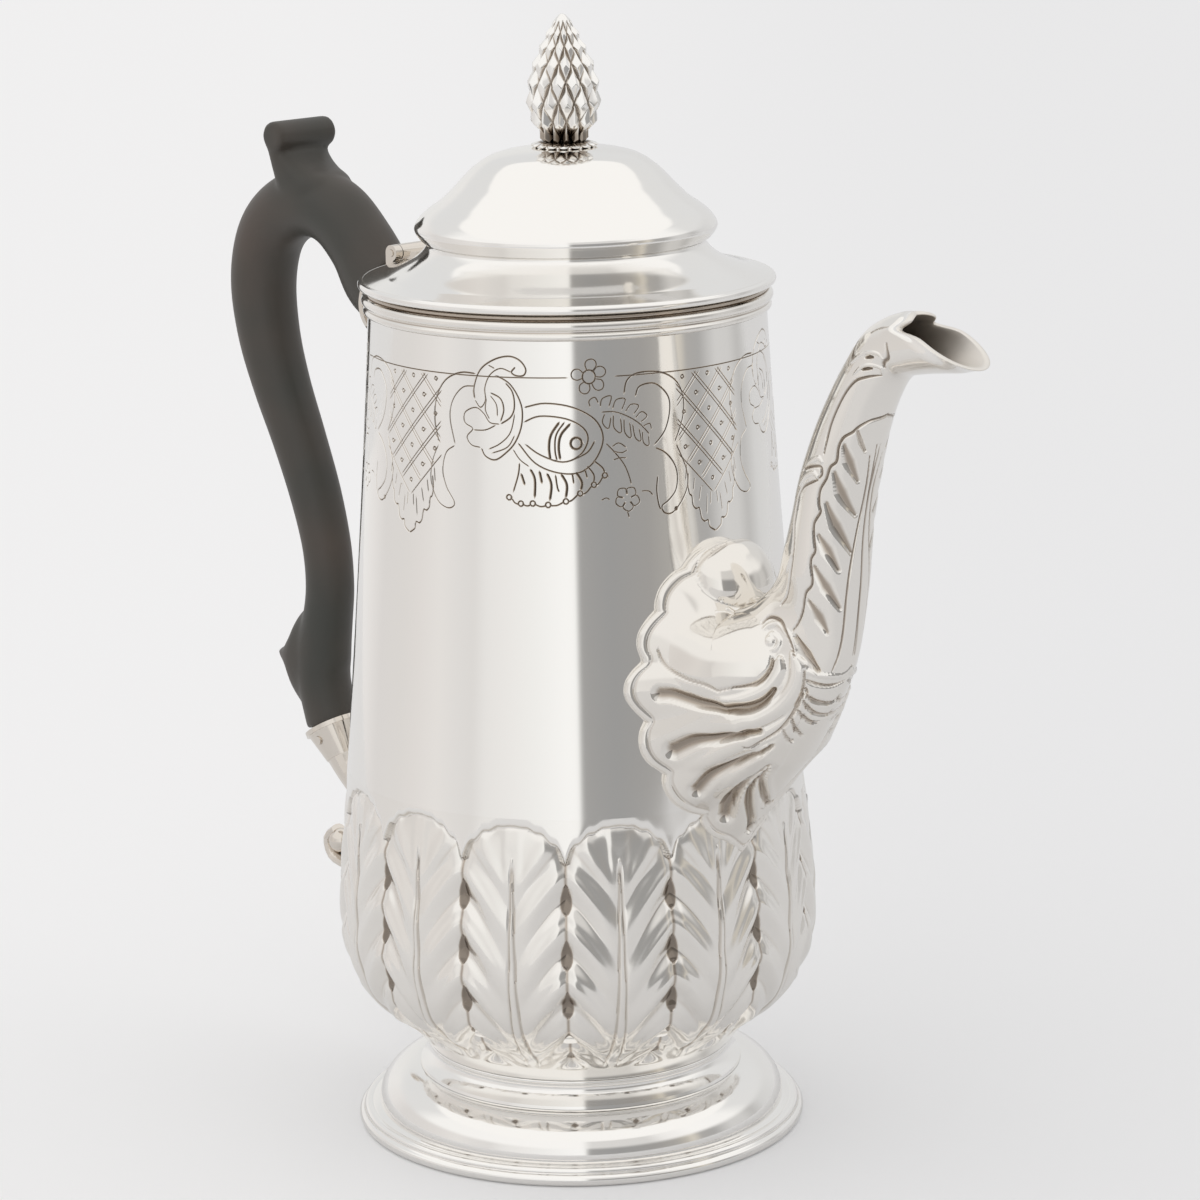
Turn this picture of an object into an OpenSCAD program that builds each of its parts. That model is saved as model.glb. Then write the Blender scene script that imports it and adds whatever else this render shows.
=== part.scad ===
// Silver coffee pot with a hinged lid, a cast spout and a wooden side handle.
// Origin: centre of the foot's underside. +Z is up, +X points to the spout, -X to the handle.

/* [Body] */
// Height of the mouth of the body above the table
body_top_z = 210.5; // [195:0.5:225]
// Height of the underside of the body above the table
body_base_z = 21; // [19:0.5:23]
// Largest radius of the body, low down at the tucked-in base
belly_r = 59.6; // [55:0.2:64]
// Radius of the body at its mouth
mouth_r = 48; // [44:0.1:52]
// Radius of the body's underside, where it meets the foot
base_r = 38.4; // [35:0.2:41]
// Thickness of the body's sheet
body_wall = 1.1; // [0.8:0.1:1.6]
// Height of the applied moulding round the mouth
rim_h = 6; // [4:0.5:8]
// How far the mouth moulding stands proud of the body
rim_proud = 1.6; // [1:0.1:2.2]

/* [Foot] */
// Largest radius of the foot
foot_r = 56; // [52:0.5:60]
// Height of the rounded moulding at the foot's edge
foot_rim_h = 5.2; // [4:0.2:6]
// Height of the step between the foot's dome and its collar
foot_step_z = 14.2; // [12:0.2:16]
// How far the foot's dome reaches out past the body's underside at that step
foot_step_out = 2.2; // [1:0.1:3.5]
// How far the waist of the foot's collar draws in from the body's underside
foot_waist_in = 1.2; // [0.6:0.1:2]
// Thickness of the foot's sheet
foot_wall = 1.5; // [1:0.1:2]

/* [Lid] */
// How far the lid's edge reaches out past the radius of the mouth
lid_over = 2.6; // [2.4:0.1:3.6]
// Radius of the wire at the lid's edge
lid_wire_r = 0.8; // [0.6:0.1:1]
// Gap between the lid's edge and the mouth moulding
lid_gap = 0.9; // [0.4:0.1:1.2]
// How far the ring at the foot of the lid's dome lies in from the lid's edge
dome_ring_in = 14; // [12:0.2:16]
// Height of the lid above its edge wire
lid_h = 32; // [28:0.5:36]
// Thickness of the lid's sheet
lid_wall = 1; // [0.8:0.1:1.4]
// How far the bezel reaches down into the body
bezel_h = 6.5; // [4:0.5:9]
// Radial play of the bezel in the mouth
bezel_play = 0.8; // [0.6:0.1:1.2]

/* [Finial] */
// Largest radius of the cone finial
cone_r = 9; // [7.5:0.1:10]
// Height of the cone finial
cone_h = 29.6; // [25:0.5:34]
// Radius of the leafy cup under the cone
calyx_r = 7.2; // [6.6:0.1:8]
// Height of the leafy cup
calyx_h = 2.6; // [2:0.1:4]
// Radius of the screwed stud that holds the finial
stud_r = 1.6; // [1.2:0.1:2]

/* [Spout] */
// Half the width of the shell where the spout meets the body
shell_half_w = 27.6; // [24:0.2:30]
// Height of the lowest point of that shell
shell_low_z = 77; // [72:0.5:82]
// Height of its highest point
shell_high_z = 153.5; // [148:0.5:160]
// Half the thickness of the spout's tube at its fullest
tube_r = 8.9; // [8:0.1:10]
// Reach of the lip from the pot's axis
lip_reach = 132; // [128:0.5:138]
// Thickness of the cast wall
spout_wall = 1.4; // [1:0.1:1.8]
// Radius of each strainer hole in the body behind the spout
strainer_r = 1.6; // [1:0.1:2]

/* [Handle] */
// Largest half-thickness of the wooden handle
grip_r = 9; // [7.5:0.1:10]
// Half-thickness of the handle at its slimmest
grip_slim_r = 6.4; // [5.6:0.1:7.4]
// Reach of the handle's back from the body's axis
handle_reach = 123.8; // [118:0.2:128]
// Radius of the thumb roll across the top of the handle
thumb_r = 3.9; // [3:0.1:4.6]
// Length of that roll
thumb_len = 21; // [16:0.5:24]
// Radius of the round tenons on the handle's ends
tenon_r = 5; // [4:0.1:5.4]
// Radius of the pins through sockets and tenons
socket_pin_r = 1.1; // [0.8:0.05:1.4]
// Height of the upper socket's axis
upper_socket_z = 200; // [196:0.5:202]
// Outer radius of the upper socket
upper_socket_r = 8.8; // [8.2:0.1:9.4]

/* [Hinge] */
// Radius of the hinge's barrel
barrel_r = 2; // [1.8:0.05:2.2]
// Length of the whole barrel
barrel_len = 22; // [18:0.5:26]
// Length of each outer knuckle, on the body's side
outer_knuckle = 2.2; // [1.8:0.1:3]
// Radius of the hinge pin
hinge_pin_r = 0.9; // [0.7:0.05:1]
// Height of the hinge axis above the lid's edge wire
hinge_rise = 2.4; // [2:0.1:3]
// Distance of the hinge axis outside the lid's edge
hinge_out = 1; // [0.8:0.1:1.6]

/* [Fits] */
// Radial clearance of a pin in its hole
pin_fit = 0.04; // [0.02:0.01:0.08]
// Gap between soldered pieces
seat = 0.05; // [0.02:0.01:0.1]
// Gap between pieces that move past each other
run_gap = 0.3; // [0.25:0.05:0.5]

/* [Hidden] */
$fn = 96;
silver = [0.84, 0.83, 0.81];
wood = [0.24, 0.22, 0.20];
tiny = 0.01;
past = 1;

// ---- radii and heights that follow from the driving sizes
foot_step_r = base_r + foot_step_out;
foot_waist_r = base_r - foot_waist_in;
lid_r = mouth_r + lid_over;
dome_ring_r = lid_r - dome_ring_in;
lid_wire_z = body_top_z + lid_gap + lid_wire_r;
lid_top_z = lid_wire_z + lid_h;
hinge_z = lid_wire_z + hinge_rise;
hinge_x = -(lid_r + hinge_out);

// ---- the body's outline. Heights are shares of the body's height. Below the belly the radius is a
// share of the way from the base to the belly, and above it a share of the belly's radius.
body_h = body_top_z - body_base_z;
function body_z(share) = body_base_z + share * body_h;
belly_share = 0.17;
belly_end = 0.35;
swell_curve = [[0, 0], [0.032, 0.241], [0.063, 0.609], [0.095, 0.835], [0.127, 0.948], [belly_share, 1]];
ease_curve = [[belly_share, 1], [0.21, 0.997], [0.26, 0.985], [0.31, 0.97], [belly_end, 0.956]];
shoulder_r = belly_r * lookup(belly_end, ease_curve);
function upper_at(share) =
    let (t = (share - belly_end) / (1 - belly_end))
    shoulder_r + (mouth_r - shoulder_r) * (1.25 * t - 0.25 * t * t);
function body_r_at(share) =
    share < belly_share ? base_r + (belly_r - base_r) * lookup(share, swell_curve)
    : share < belly_end ? belly_r * lookup(share, ease_curve)
    : upper_at(share);
function body_r_z(z) = body_r_at((z - body_base_z) / body_h);
body_shares = concat([for (p = swell_curve) p[0]], [0.21, 0.26, 0.31, belly_end],
                     [0.45, 0.55, 0.65, 0.75, 0.85, 0.93, 1]);

// ---- small helpers
function mix(a, b, t) = a + (b - a) * t;
function bezier(a, b, c, t) = a * (1 - t) * (1 - t) + b * 2 * t * (1 - t) + c * t * t;
function spline(p, i, t) =
    let (n = len(p) - 1,
         a = p[max(i - 1, 0)], b = p[i], c = p[min(i + 1, n)], d = p[min(i + 2, n)])
    0.5 * (2 * b + (c - a) * t + (2 * a - 5 * b + 4 * c - d) * t * t
           + (3 * b - a - 3 * c + d) * t * t * t);
// Points moved by a distance to the left of the way the list runs
function moved(p, d) = [for (i = [0 : len(p) - 1])
    let (a = p[max(i - 1, 0)], b = p[min(i + 1, len(p) - 1)], n = norm(b - a))
    [p[i][0] - (b[1] - a[1]) / n * d, p[i][1] + (b[0] - a[0]) / n * d]];
function reversed(p) = [for (i = [len(p) - 1 : -1 : 0]) p[i]];
function smooth_list(p, steps) = concat(
    [for (i = [0 : len(p) - 2]) for (k = [0 : steps - 1]) spline(p, i, k / steps)],
    [p[len(p) - 1]]);

// Skin over a stack of rings, each ring a closed list of points. The ends are closed by strips
// from point k to point n - 1 - k, which suits a round ring and a ring folded back on itself.
module skin(rings) {
    n = len(rings[0]);
    last = len(rings) - 1;
    points = [for (ring = rings) for (p = ring) p];
    sides = [for (i = [0 : last - 1]) for (k = [0 : n - 1]) for (half = [0, 1])
        half == 0
        ? [i * n + k, i * n + (k + 1) % n, (i + 1) * n + (k + 1) % n]
        : [i * n + k, (i + 1) * n + (k + 1) % n, (i + 1) * n + k]];
    strip = [for (k = [0 : n / 2 - 2]) for (half = [0, 1])
        half == 0 ? [k, k + 1, n - 2 - k] : [k, n - 2 - k, n - 1 - k]];
    start = [for (f = strip) [f[2], f[1], f[0]]];
    finish = [for (f = strip) [for (k = f) last * n + k]];
    polyhedron(points = points, faces = concat(start, sides, finish), convexity = 8);
}

// A round bar in the plane y = 0; stations are [x, z, half thickness, half width]
module bar(stations, sides, steps) {
    path = smooth_list(stations, steps);
    last = len(path) - 1;
    rings = [for (i = [0 : last])
        let (a = path[max(i - 1, 0)], b = path[min(i + 1, last)],
             dx = b[0] - a[0], dz = b[1] - a[1], d = norm([dx, dz]),
             c = path[i])
        [for (k = [0 : sides - 1])
            let (w = 360 * k / sides)
            [c[0] - dz / d * c[2] * cos(w), c[3] * sin(w), c[1] + dx / d * c[2] * cos(w)]]];
    skin(rings);
}

// ---- body
module body_profile(inset, z_low, z_high) {
    shares = [for (s = body_shares) if (body_z(s) > z_low && body_z(s) < z_high) s];
    polygon(concat(
        [[0, z_low], [body_r_z(z_low) - inset, z_low]],
        [for (s = shares) [body_r_at(s) - inset, body_z(s)]],
        [[body_r_z(z_high) - inset, z_high], [0, z_high]]));
}

strainer_rows = 5;
strainer_pitch = 6;
strainer_z = 122;
module body_shell() {
    color(silver) difference() {
        rotate_extrude() body_profile(0, body_base_z, body_top_z);
        rotate_extrude() difference() {
            body_profile(body_wall, body_base_z + body_wall, body_top_z);
            translate([0, body_base_z]) square([tiny, tiny]);
        }
        translate([0, 0, body_top_z - tiny]) cylinder(r = mouth_r - body_wall, h = past);
        for (row = [0 : strainer_rows - 1], place = [-2 : 2])
            translate([0, (place + (row % 2) / 2) * strainer_pitch,
                       strainer_z + (row - (strainer_rows - 1) / 2) * strainer_pitch])
                rotate([0, 90, 0]) cylinder(r = strainer_r, h = belly_r + past, $fn = 24);
    }
}

module rim_moulding() {
    z0 = body_top_z - rim_h;
    inner = body_r_z(z0) + seat;
    proud = mouth_r + rim_proud;
    bead = rim_h * 0.22;
    color(silver) rotate_extrude() difference() {
        union() {
            translate([inner - past, z0]) square([mouth_r + rim_proud * 0.35 - inner + past, rim_h]);
            translate([proud - bead, z0 + rim_h * 0.62]) circle(r = bead, $fn = 32);
            translate([inner - past, z0 + rim_h * 0.4]) square([proud - bead - inner + past, 2 * bead]);
            translate([mouth_r - past, z0 + bead * 0.45]) square([past + rim_proud * 0.55, bead * 0.8]);
        }
        polygon([[0, z0 - past], [body_r_z(z0 - past) + seat, z0 - past],
                 [mouth_r + seat, body_top_z], [mouth_r + seat, body_top_z + past],
                 [0, body_top_z + past]]);
    }
}

// ---- foot
module foot_rim() {
    bead = foot_rim_h * 0.31;
    inner = foot_r - 8;
    color(silver) rotate_extrude() difference() {
        union() {
            translate([inner, 0]) square([foot_r - bead - inner, foot_rim_h * 0.62]);
            translate([foot_r - bead, bead]) circle(r = bead, $fn = 32);
            translate([foot_r - 2.2 * bead, foot_rim_h * 0.62]) circle(r = bead * 0.72, $fn = 24);
            translate([inner, 0]) square([foot_r - 3 * bead - inner + tiny, foot_rim_h * 0.9]);
            translate([inner, 0]) square([past, foot_rim_h]);
        }
        translate([0, -foot_rim_h]) square([foot_r + past, foot_rim_h]);
        translate([inner - past, -tiny]) square([past + foot_wall, foot_rim_h * 0.5]);
    }
}

module foot_dome() {
    edge_r = foot_r - 7;
    rise = foot_step_z - foot_rim_h - seat;
    run = edge_r - foot_step_r;
    steps = 8;
    outer = [for (i = [0 : steps]) let (w = 90 * i / steps)
        [foot_step_r + run * cos(w), foot_rim_h + seat + rise * sin(w)]];
    inner = [for (i = [steps : -1 : 0]) let (w = 90 * i / steps)
        [foot_step_r + (run - foot_wall) * cos(w), foot_rim_h + seat + (rise - foot_wall) * sin(w)]];
    color(silver) rotate_extrude() polygon(concat(
        outer,
        [[foot_waist_r - foot_wall, foot_step_z], [foot_waist_r - foot_wall, foot_step_z - foot_wall]],
        inner));
}

module foot_collar() {
    z0 = foot_step_z + seat;
    h = body_base_z - seat - z0;
    lip_r = foot_step_r - 0.2;
    top_r = base_r - 0.4;
    steps = 8;
    curve = [for (i = [0 : steps]) let (t = i / steps)
        [bezier(lip_r, foot_waist_r - (lip_r - foot_waist_r) * 0.4, top_r, t),
         z0 + past + (h - past) * t]];
    color(silver) rotate_extrude() polygon(concat(
        [[foot_waist_r - foot_wall, z0], [lip_r, z0]],
        curve,
        [[foot_waist_r - foot_wall, z0 + h]]));
}

// ---- spout: stations are [back x, back z, front x, front z, half width]
lip_shift = lip_reach - 132;
spout_stations = [
    [63, 147.5, 76, 105, 18],
    [68.5, 147.2, 85.5, 118.5, 11.5],
    [73, 150.5, 92.4, 131.6, 7.6],
    [75.8, 157, 95, 148, 8.6],
    [78, 166, 96, 161.5, 8.9],
    [80.4, 174.8, 97.4, 170.4, 8.8],
    [84, 184.4, 99.6, 179.2, 8.2],
    [87.6, 192, 101.6, 186.4, 7.6],
    [93, 201.2, 105, 194.4, 7.1],
    [99, 209.4, 109.4, 200.2, 6.8],
    [105, 213.2, 116 + lip_shift / 3, 202.2, 7.1],
    [111, 215.2, lip_reach, 204.2, 8]
];
tube_k = tube_r / 8.9;
shell_steps = 6;
arc_steps = 12;
shell_mid_z = (shell_high_z + shell_low_z) / 2;
shell_half_h = (shell_high_z - shell_low_z) / 2;
scallops = 9;
scallop_depth = 0.05;

// One point of the spout's skin on one side: s runs along the spout, w from -90 (front) to 90 (back)
function tube_point(st, w, wall) =
    let (cx = (st[0] + st[2]) / 2, cz = (st[1] + st[3]) / 2,
         ax = (st[0] - st[2]) / 2, az = (st[1] - st[3]) / 2,
         len_a = norm([ax, az]), ka = (len_a * tube_k - wall) / len_a)
    [cx + ax * ka * sin(w), (st[4] * tube_k - wall) * cos(w), cz + az * ka * sin(w)];
function on_body(y, z) = [sqrt(pow(body_r_z(z) + seat, 2) - y * y), y, z];
function root_point(w, wall) =
    let (lobe = 1 - scallop_depth * (1 - abs(sin(scallops * w))),
         k = wall > 0 ? 0.6 : lobe,
         y = shell_half_w * k * cos(w) * (1 + 0.1 * sin(w)),
         z = shell_mid_z + shell_half_h * k * sin(w))
    on_body(y, z);
function shell_point(w, t, wall) =
    let (a = root_point(w, wall), c = tube_point(spout_stations[0], w, wall),
         swell = [a[0] + (wall > 0 ? 2 : 7), mix(a[1], c[1], 0.25), mix(a[2], c[2], 0.25)])
    bezier(a, swell, c, t);
tube_path = smooth_list(spout_stations, 3);

module spout_half(side) {
    arc = [for (i = [0 : arc_steps]) -90 + 180 * i / arc_steps];
    function loop(f_out, f_in) = concat(f_out, [for (i = [arc_steps : -1 : 0]) f_in[i]]);
    root = [for (i = [0 : shell_steps - 1])
        loop([for (w = arc) shell_point(w, i / shell_steps, 0)],
             [for (w = arc) shell_point(w, i / shell_steps, spout_wall)])];
    tube = [for (st = tube_path)
        loop([for (w = arc) tube_point(st, w, 0)],
             [for (w = arc) tube_point(st, w, spout_wall)])];
    mirror([0, side < 0 ? 1 : 0, 0]) skin([for (ring = concat(root, tube)) reversed(ring)]);
}

module spout_left() {
    color(silver) spout_half(1);
}

module spout_right() {
    color(silver) spout_half(-1);
}

// ---- handle: stations are [x, z, half thickness, half width]
back_x = -(handle_reach - grip_r);
socket_len = 18.5;
upper_end_x = -(mouth_r + socket_len);
lower_end = [-92.3, 84.6];
lower_dir = [0.51, -0.86];
handle_stations = [
    [upper_end_x, upper_socket_z + 0.8, 8.4, 7.6],
    [upper_end_x - 3.5, upper_socket_z + 6.5, 8.8, 7.9],
    [-75.5, 213.8, grip_r * 0.97, 8.1],
    [-84, 220.6, grip_r * 0.97, 8.3],
    [-94.5, 222.6, grip_r, 8.6],
    [-104.5, 219.2, grip_r, 8.7],
    [-111.6, 212, grip_r, 8.6],
    [back_x, 200.5, grip_r * 0.98, 8.5],
    [-113.4, 187, grip_r * 0.92, 8.1],
    [-109, 174, grip_r * 0.84, 7.6],
    [-102.5, 160, grip_r * 0.79, 7.1],
    [-96.6, 146, grip_r * 0.75, 6.8],
    [-92.8, 133, grip_slim_r, 6.5],
    [-91.9, 122, grip_slim_r, 6.4],
    [-93.2, 113, grip_slim_r * 1.05, 6.6],
    [-95.6, 103.5, grip_slim_r * 1.3, 6.9],
    [-95.4, 95.5, grip_slim_r * 1.14, 6.9],
    [lower_end[0], lower_end[1], grip_slim_r * 1.12, 6.8]
];
thumb_x = -97.4;
thumb_z = 240.6;
thumb_neck = [
    [-89.5, 224, 6.5, 7.8],
    [-93.2, 231.5, 3.6, 7.8],
    [thumb_x - 0.6, thumb_z - 1.5, 3.0, 8]
];
spur = [
    [-100, 100.6, 6, 5.6],
    [-106.5, 101.6, 3.6, 4.6],
    [-112.2, 101.4, 0.7, 2.4]
];
tenon_len = 7;
pin_inset = 3.6;

module along_lower(back) {
    translate([lower_end[0] + lower_dir[0] * back, 0, lower_end[1] + lower_dir[1] * back])
        rotate([0, 90 + atan2(-lower_dir[1], lower_dir[0]), 0]) children();
}

module handle() {
    color(wood) difference() {
        union() {
            bar(handle_stations, 20, 3);
            bar(thumb_neck, 16, 3);
            bar(spur, 12, 2);
            translate([thumb_x, thumb_len / 2, thumb_z]) rotate([90, 0, 0])
                cylinder(r = thumb_r, h = thumb_len);
            translate([upper_end_x - 4, 0, upper_socket_z]) rotate([0, 90, 0])
                cylinder(r = tenon_r, h = tenon_len + 4);
            along_lower(-4) cylinder(r = tenon_r, h = tenon_len + 4);
        }
        translate([upper_end_x + pin_inset, grip_r * 2, upper_socket_z]) rotate([90, 0, 0])
            cylinder(r = socket_pin_r + pin_fit, h = grip_r * 4, $fn = 32);
        along_lower(pin_inset) translate([0, grip_r * 2, 0]) rotate([90, 0, 0])
            cylinder(r = socket_pin_r + pin_fit, h = grip_r * 4, $fn = 32);
    }
}

module upper_socket() {
    start = upper_end_x + seat;
    color(silver) difference() {
        translate([start, 0, upper_socket_z]) rotate([0, 90, 0]) union() {
            cylinder(r = upper_socket_r, h = -start);
            cylinder(r = upper_socket_r + 0.5, h = 1.4);
        }
        translate([start - past, 0, upper_socket_z]) rotate([0, 90, 0])
            cylinder(r = tenon_r + pin_fit, h = tenon_len + past + seat * 4);
        translate([upper_end_x + pin_inset, upper_socket_r * 2, upper_socket_z]) rotate([90, 0, 0])
            cylinder(r = socket_pin_r + pin_fit, h = upper_socket_r * 4, $fn = 32);
        rotate_extrude() polygon([
            [0, upper_socket_z - 20], [body_r_z(upper_socket_z - 20) + seat, upper_socket_z - 20],
            [body_r_z(body_top_z - rim_h) + seat, body_top_z - rim_h - seat],
            [mouth_r + rim_proud + seat, body_top_z - rim_h - seat],
            [mouth_r + rim_proud + seat, body_top_z + past * 2], [0, body_top_z + past * 2]]);
    }
}

lower_cup_r = 7.6;
cup_h = 9;
arm_stations = [
    [-88.3, 78, 5.4, 5],
    [-84.6, 72.6, 4.2, 4.2],
    [-78.5, 67.6, 3.6, 4],
    [-70, 65, 3.8, 4.6],
    [-62.5, 64.6, 5, 6],
    [-57, 64.8, 6, 7]
];
scroll_turn_r = 3.3;
scroll_eye = [-90.6, 52.8];
scroll_stations = [
    [-57, 58.6, 5, 6],
    [-63.5, 57.2, 3.6, 4.4],
    [-72, 52.6, 2.8, 3.8],
    [-80, 48.2, 2.2, 3.2],
    [-87, 47.2, 1.8, 2.8],
    [-93, 48.6, 1.6, 2.6],
    [-94.6, 53, 1.5, 2.4],
    [-91.6, 55.8, 1.4, 2.2]
];

module off_body() {
    rotate_extrude() polygon(concat(
        [[0, body_base_z + past]],
        [for (s = body_shares) [body_r_at(s) + seat, body_z(s)]],
        [[0, body_top_z]]));
}

module lower_socket() {
    color(silver) difference() {
        union() {
            along_lower(seat) cylinder(r1 = lower_cup_r, r2 = 5.2, h = cup_h);
            along_lower(seat) cylinder(r = lower_cup_r + 0.3, h = 1.2);
            bar(arm_stations, 14, 3);
        }
        along_lower(-past) cylinder(r = tenon_r + pin_fit, h = tenon_len + past + seat * 4);
        along_lower(pin_inset) translate([0, lower_cup_r * 2, 0]) rotate([90, 0, 0])
            cylinder(r = socket_pin_r + pin_fit, h = lower_cup_r * 4, $fn = 32);
        off_body();
    }
}

module lower_scroll() {
    color(silver) difference() {
        union() {
            bar(scroll_stations, 12, 3);
            translate([scroll_eye[0], 0, scroll_eye[1]]) sphere(r = scroll_turn_r, $fn = 32);
        }
        off_body();
    }
}

module upper_socket_pin() {
    color(silver) translate([upper_end_x + pin_inset, upper_socket_r + 0.3, upper_socket_z])
        rotate([90, 0, 0]) cylinder(r = socket_pin_r, h = upper_socket_r * 2 + 0.6, $fn = 32);
}

module lower_socket_pin() {
    half = lower_cup_r - 0.4;
    color(silver) along_lower(pin_inset) translate([0, half, 0]) rotate([90, 0, 0])
        cylinder(r = socket_pin_r, h = half * 2, $fn = 32);
}

// ---- hinge
module barrel(y_low, y_high) {
    translate([hinge_x, y_high, hinge_z]) rotate([90, 0, 0])
        cylinder(r = barrel_r, h = y_high - y_low, $fn = 48);
}

module hinge_bore() {
    translate([hinge_x, barrel_len, hinge_z]) rotate([90, 0, 0])
        cylinder(r = hinge_pin_r + pin_fit, h = barrel_len * 2, $fn = 48);
}

module hinge_bracket() {
    y_out = barrel_len / 2;
    y_in = y_out - outer_knuckle;
    plate_front = -(lid_r + run_gap);
    foot_low = body_top_z - rim_h * 0.8;
    color(silver) difference() {
        union() {
            for (side = [-1, 1]) {
                barrel(side > 0 ? y_in : -y_out, side > 0 ? y_out : -y_in);
                translate([hinge_x - barrel_r, side > 0 ? y_in : -y_out, foot_low])
                    cube([plate_front - hinge_x + barrel_r, outer_knuckle, hinge_z - foot_low]);
            }
            translate([hinge_x - barrel_r, -y_out, foot_low])
                cube([mouth_r * 0.2, y_out * 2, body_top_z - foot_low]);
        }
        hinge_bore();
        cylinder(r = mouth_r + rim_proud + seat, h = lid_top_z);
        translate([upper_end_x, 0, upper_socket_z]) rotate([0, 90, 0])
            cylinder(r = upper_socket_r + seat + 0.5, h = -upper_end_x);
    }
}

module hinge_leaf() {
    half = barrel_len / 2 - outer_knuckle - run_gap / 2;
    color(silver) difference() {
        union() {
            barrel(-half, half);
            translate([hinge_x, -half, lid_wire_z + lid_wire_r])
                cube([barrel_r * 3.4, half * 2, hinge_z - lid_wire_z - lid_wire_r + 0.6]);
        }
        hinge_bore();
        rotate_extrude() lid_outside(seat);
    }
}

module hinge_pin() {
    color(silver) translate([hinge_x, barrel_len / 2 + 0.3, hinge_z]) rotate([90, 0, 0])
        cylinder(r = hinge_pin_r, h = barrel_len + 0.6, $fn = 48);
}

// ---- lid: points are [radius, height above the edge wire]
lid_k = lid_h / 32;
edge_k = lid_r / 50.6;
ring_k = dome_ring_r / 36.6;
lid_points = [
    [44.6 * edge_k, 1.7], [39.4 * edge_k, 3.8], [36.2 * ring_k, 5.8], [34.2 * ring_k, 7.9],
    [33.8 * ring_k, 9.2], [35.2 * ring_k, 10.2], [dome_ring_r, 12.6], [35.6 * ring_k, 14.8],
    [33.6 * ring_k, 16.8], [30.2 * ring_k, 19.2], [27.2 * ring_k, 22], [24.6 * ring_k, 24.8],
    [21.5 * ring_k, 27.6], [17.4 * ring_k, 30], [11.4 * ring_k, 31.4], [5 * ring_k, 31.9]
];
lid_edge_r = lid_r - lid_wire_r * 1.6;

module lid_outside(grow) {
    polygon(concat(
        [[0, lid_wire_z - lid_wire_r], [lid_edge_r, lid_wire_z - lid_wire_r],
         [lid_edge_r, lid_wire_z + lid_wire_r + grow]],
        [for (p = lid_points) [p[0] + grow, lid_wire_z + p[1] * lid_k + grow]],
        [[0, lid_top_z + grow]]));
}

module lid_dome() {
    outer = [for (p = lid_points) [p[0], lid_wire_z + p[1] * lid_k]];
    low = lid_wire_z - lid_wire_r;
    color(silver) difference() {
        rotate_extrude() polygon(concat(
            [[outer[0][0] - lid_wall, low], [lid_edge_r, low], [lid_edge_r, low + 2 * lid_wire_r]],
            outer,
            [[0, lid_top_z], [0, lid_top_z - lid_wall]],
            reversed(moved(outer, lid_wall))));
        translate([0, 0, lid_wire_z]) cylinder(r = stud_r + pin_fit, h = lid_h + past, $fn = 32);
    }
}

module lid_wire() {
    color(silver) rotate_extrude() difference() {
        translate([lid_r - lid_wire_r, lid_wire_z]) circle(r = lid_wire_r, $fn = 24);
        translate([0, lid_wire_z - lid_wire_r - past])
            square([lid_edge_r + seat, 2 * (lid_wire_r + past)]);
    }
}

module lid_bezel() {
    outer = mouth_r - body_wall - bezel_play;
    top = lid_wire_z - lid_wire_r - seat;
    color(silver) difference() {
        translate([0, 0, body_top_z - bezel_h]) cylinder(r = outer, h = top - body_top_z + bezel_h);
        translate([0, 0, body_top_z - bezel_h - past])
            cylinder(r = outer - lid_wall, h = bezel_h + past * 3);
    }
}

// ---- finial: shares of [largest radius, height]
cone_points = [
    [0.56, 0], [0.7, 0.04], [0.83, 0.12], [0.93, 0.2], [1, 0.29], [0.99, 0.4], [0.95, 0.52],
    [0.85, 0.64], [0.72, 0.74], [0.56, 0.84], [0.38, 0.92], [0.14, 0.99], [0, 1]
];
calyx_z = lid_top_z - 0.6;
cone_z = calyx_z + calyx_h;

module finial_calyx() {
    color(silver) difference() {
        rotate_extrude() polygon([
            [0, calyx_z], [calyx_r * 0.78, calyx_z], [calyx_r * 0.96, calyx_z + calyx_h * 0.4],
            [calyx_r, calyx_z + calyx_h * 0.62], [calyx_r * 0.8, calyx_z + calyx_h * 0.95],
            [calyx_r * 0.6, calyx_z + calyx_h], [0, calyx_z + calyx_h]]);
        translate([0, 0, calyx_z - past]) cylinder(r = stud_r + pin_fit, h = calyx_h + past * 2, $fn = 32);
        rotate_extrude() translate([0, -tiny]) lid_outside(seat);
    }
}

stud_grip = 9;
module finial_cone() {
    color(silver) difference() {
        rotate_extrude() polygon(concat(
            [[0, cone_z + seat]],
            [for (p = cone_points) [cone_r * p[0], cone_z + seat + (cone_h - seat) * p[1]]]));
        translate([0, 0, cone_z - past]) cylinder(r = stud_r + pin_fit, h = stud_grip + past + seat * 4, $fn = 32);
    }
}

nut_h = 2.6;
nut_across = 6;
washer_h = 0.8;
washer_drop = 0.25;
washer_z = lid_top_z - lid_wall - washer_drop - washer_h;
stud_low = washer_z - nut_h - 1.6;

module finial_stud() {
    color(silver) translate([0, 0, stud_low])
        cylinder(r = stud_r, h = cone_z + stud_grip - stud_low, $fn = 32);
}

module finial_washer() {
    color(silver) translate([0, 0, washer_z]) difference() {
        cylinder(r = nut_across * 0.75, h = washer_h, $fn = 48);
        translate([0, 0, -past]) cylinder(r = stud_r + pin_fit, h = washer_h + past * 2, $fn = 32);
    }
}

module finial_nut() {
    color(silver) translate([0, 0, washer_z - seat - nut_h]) difference() {
        cylinder(r = nut_across / 2 / cos(30), h = nut_h, $fn = 6);
        translate([0, 0, -past]) cylinder(r = stud_r + pin_fit, h = nut_h + past * 2, $fn = 32);
    }
}

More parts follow.
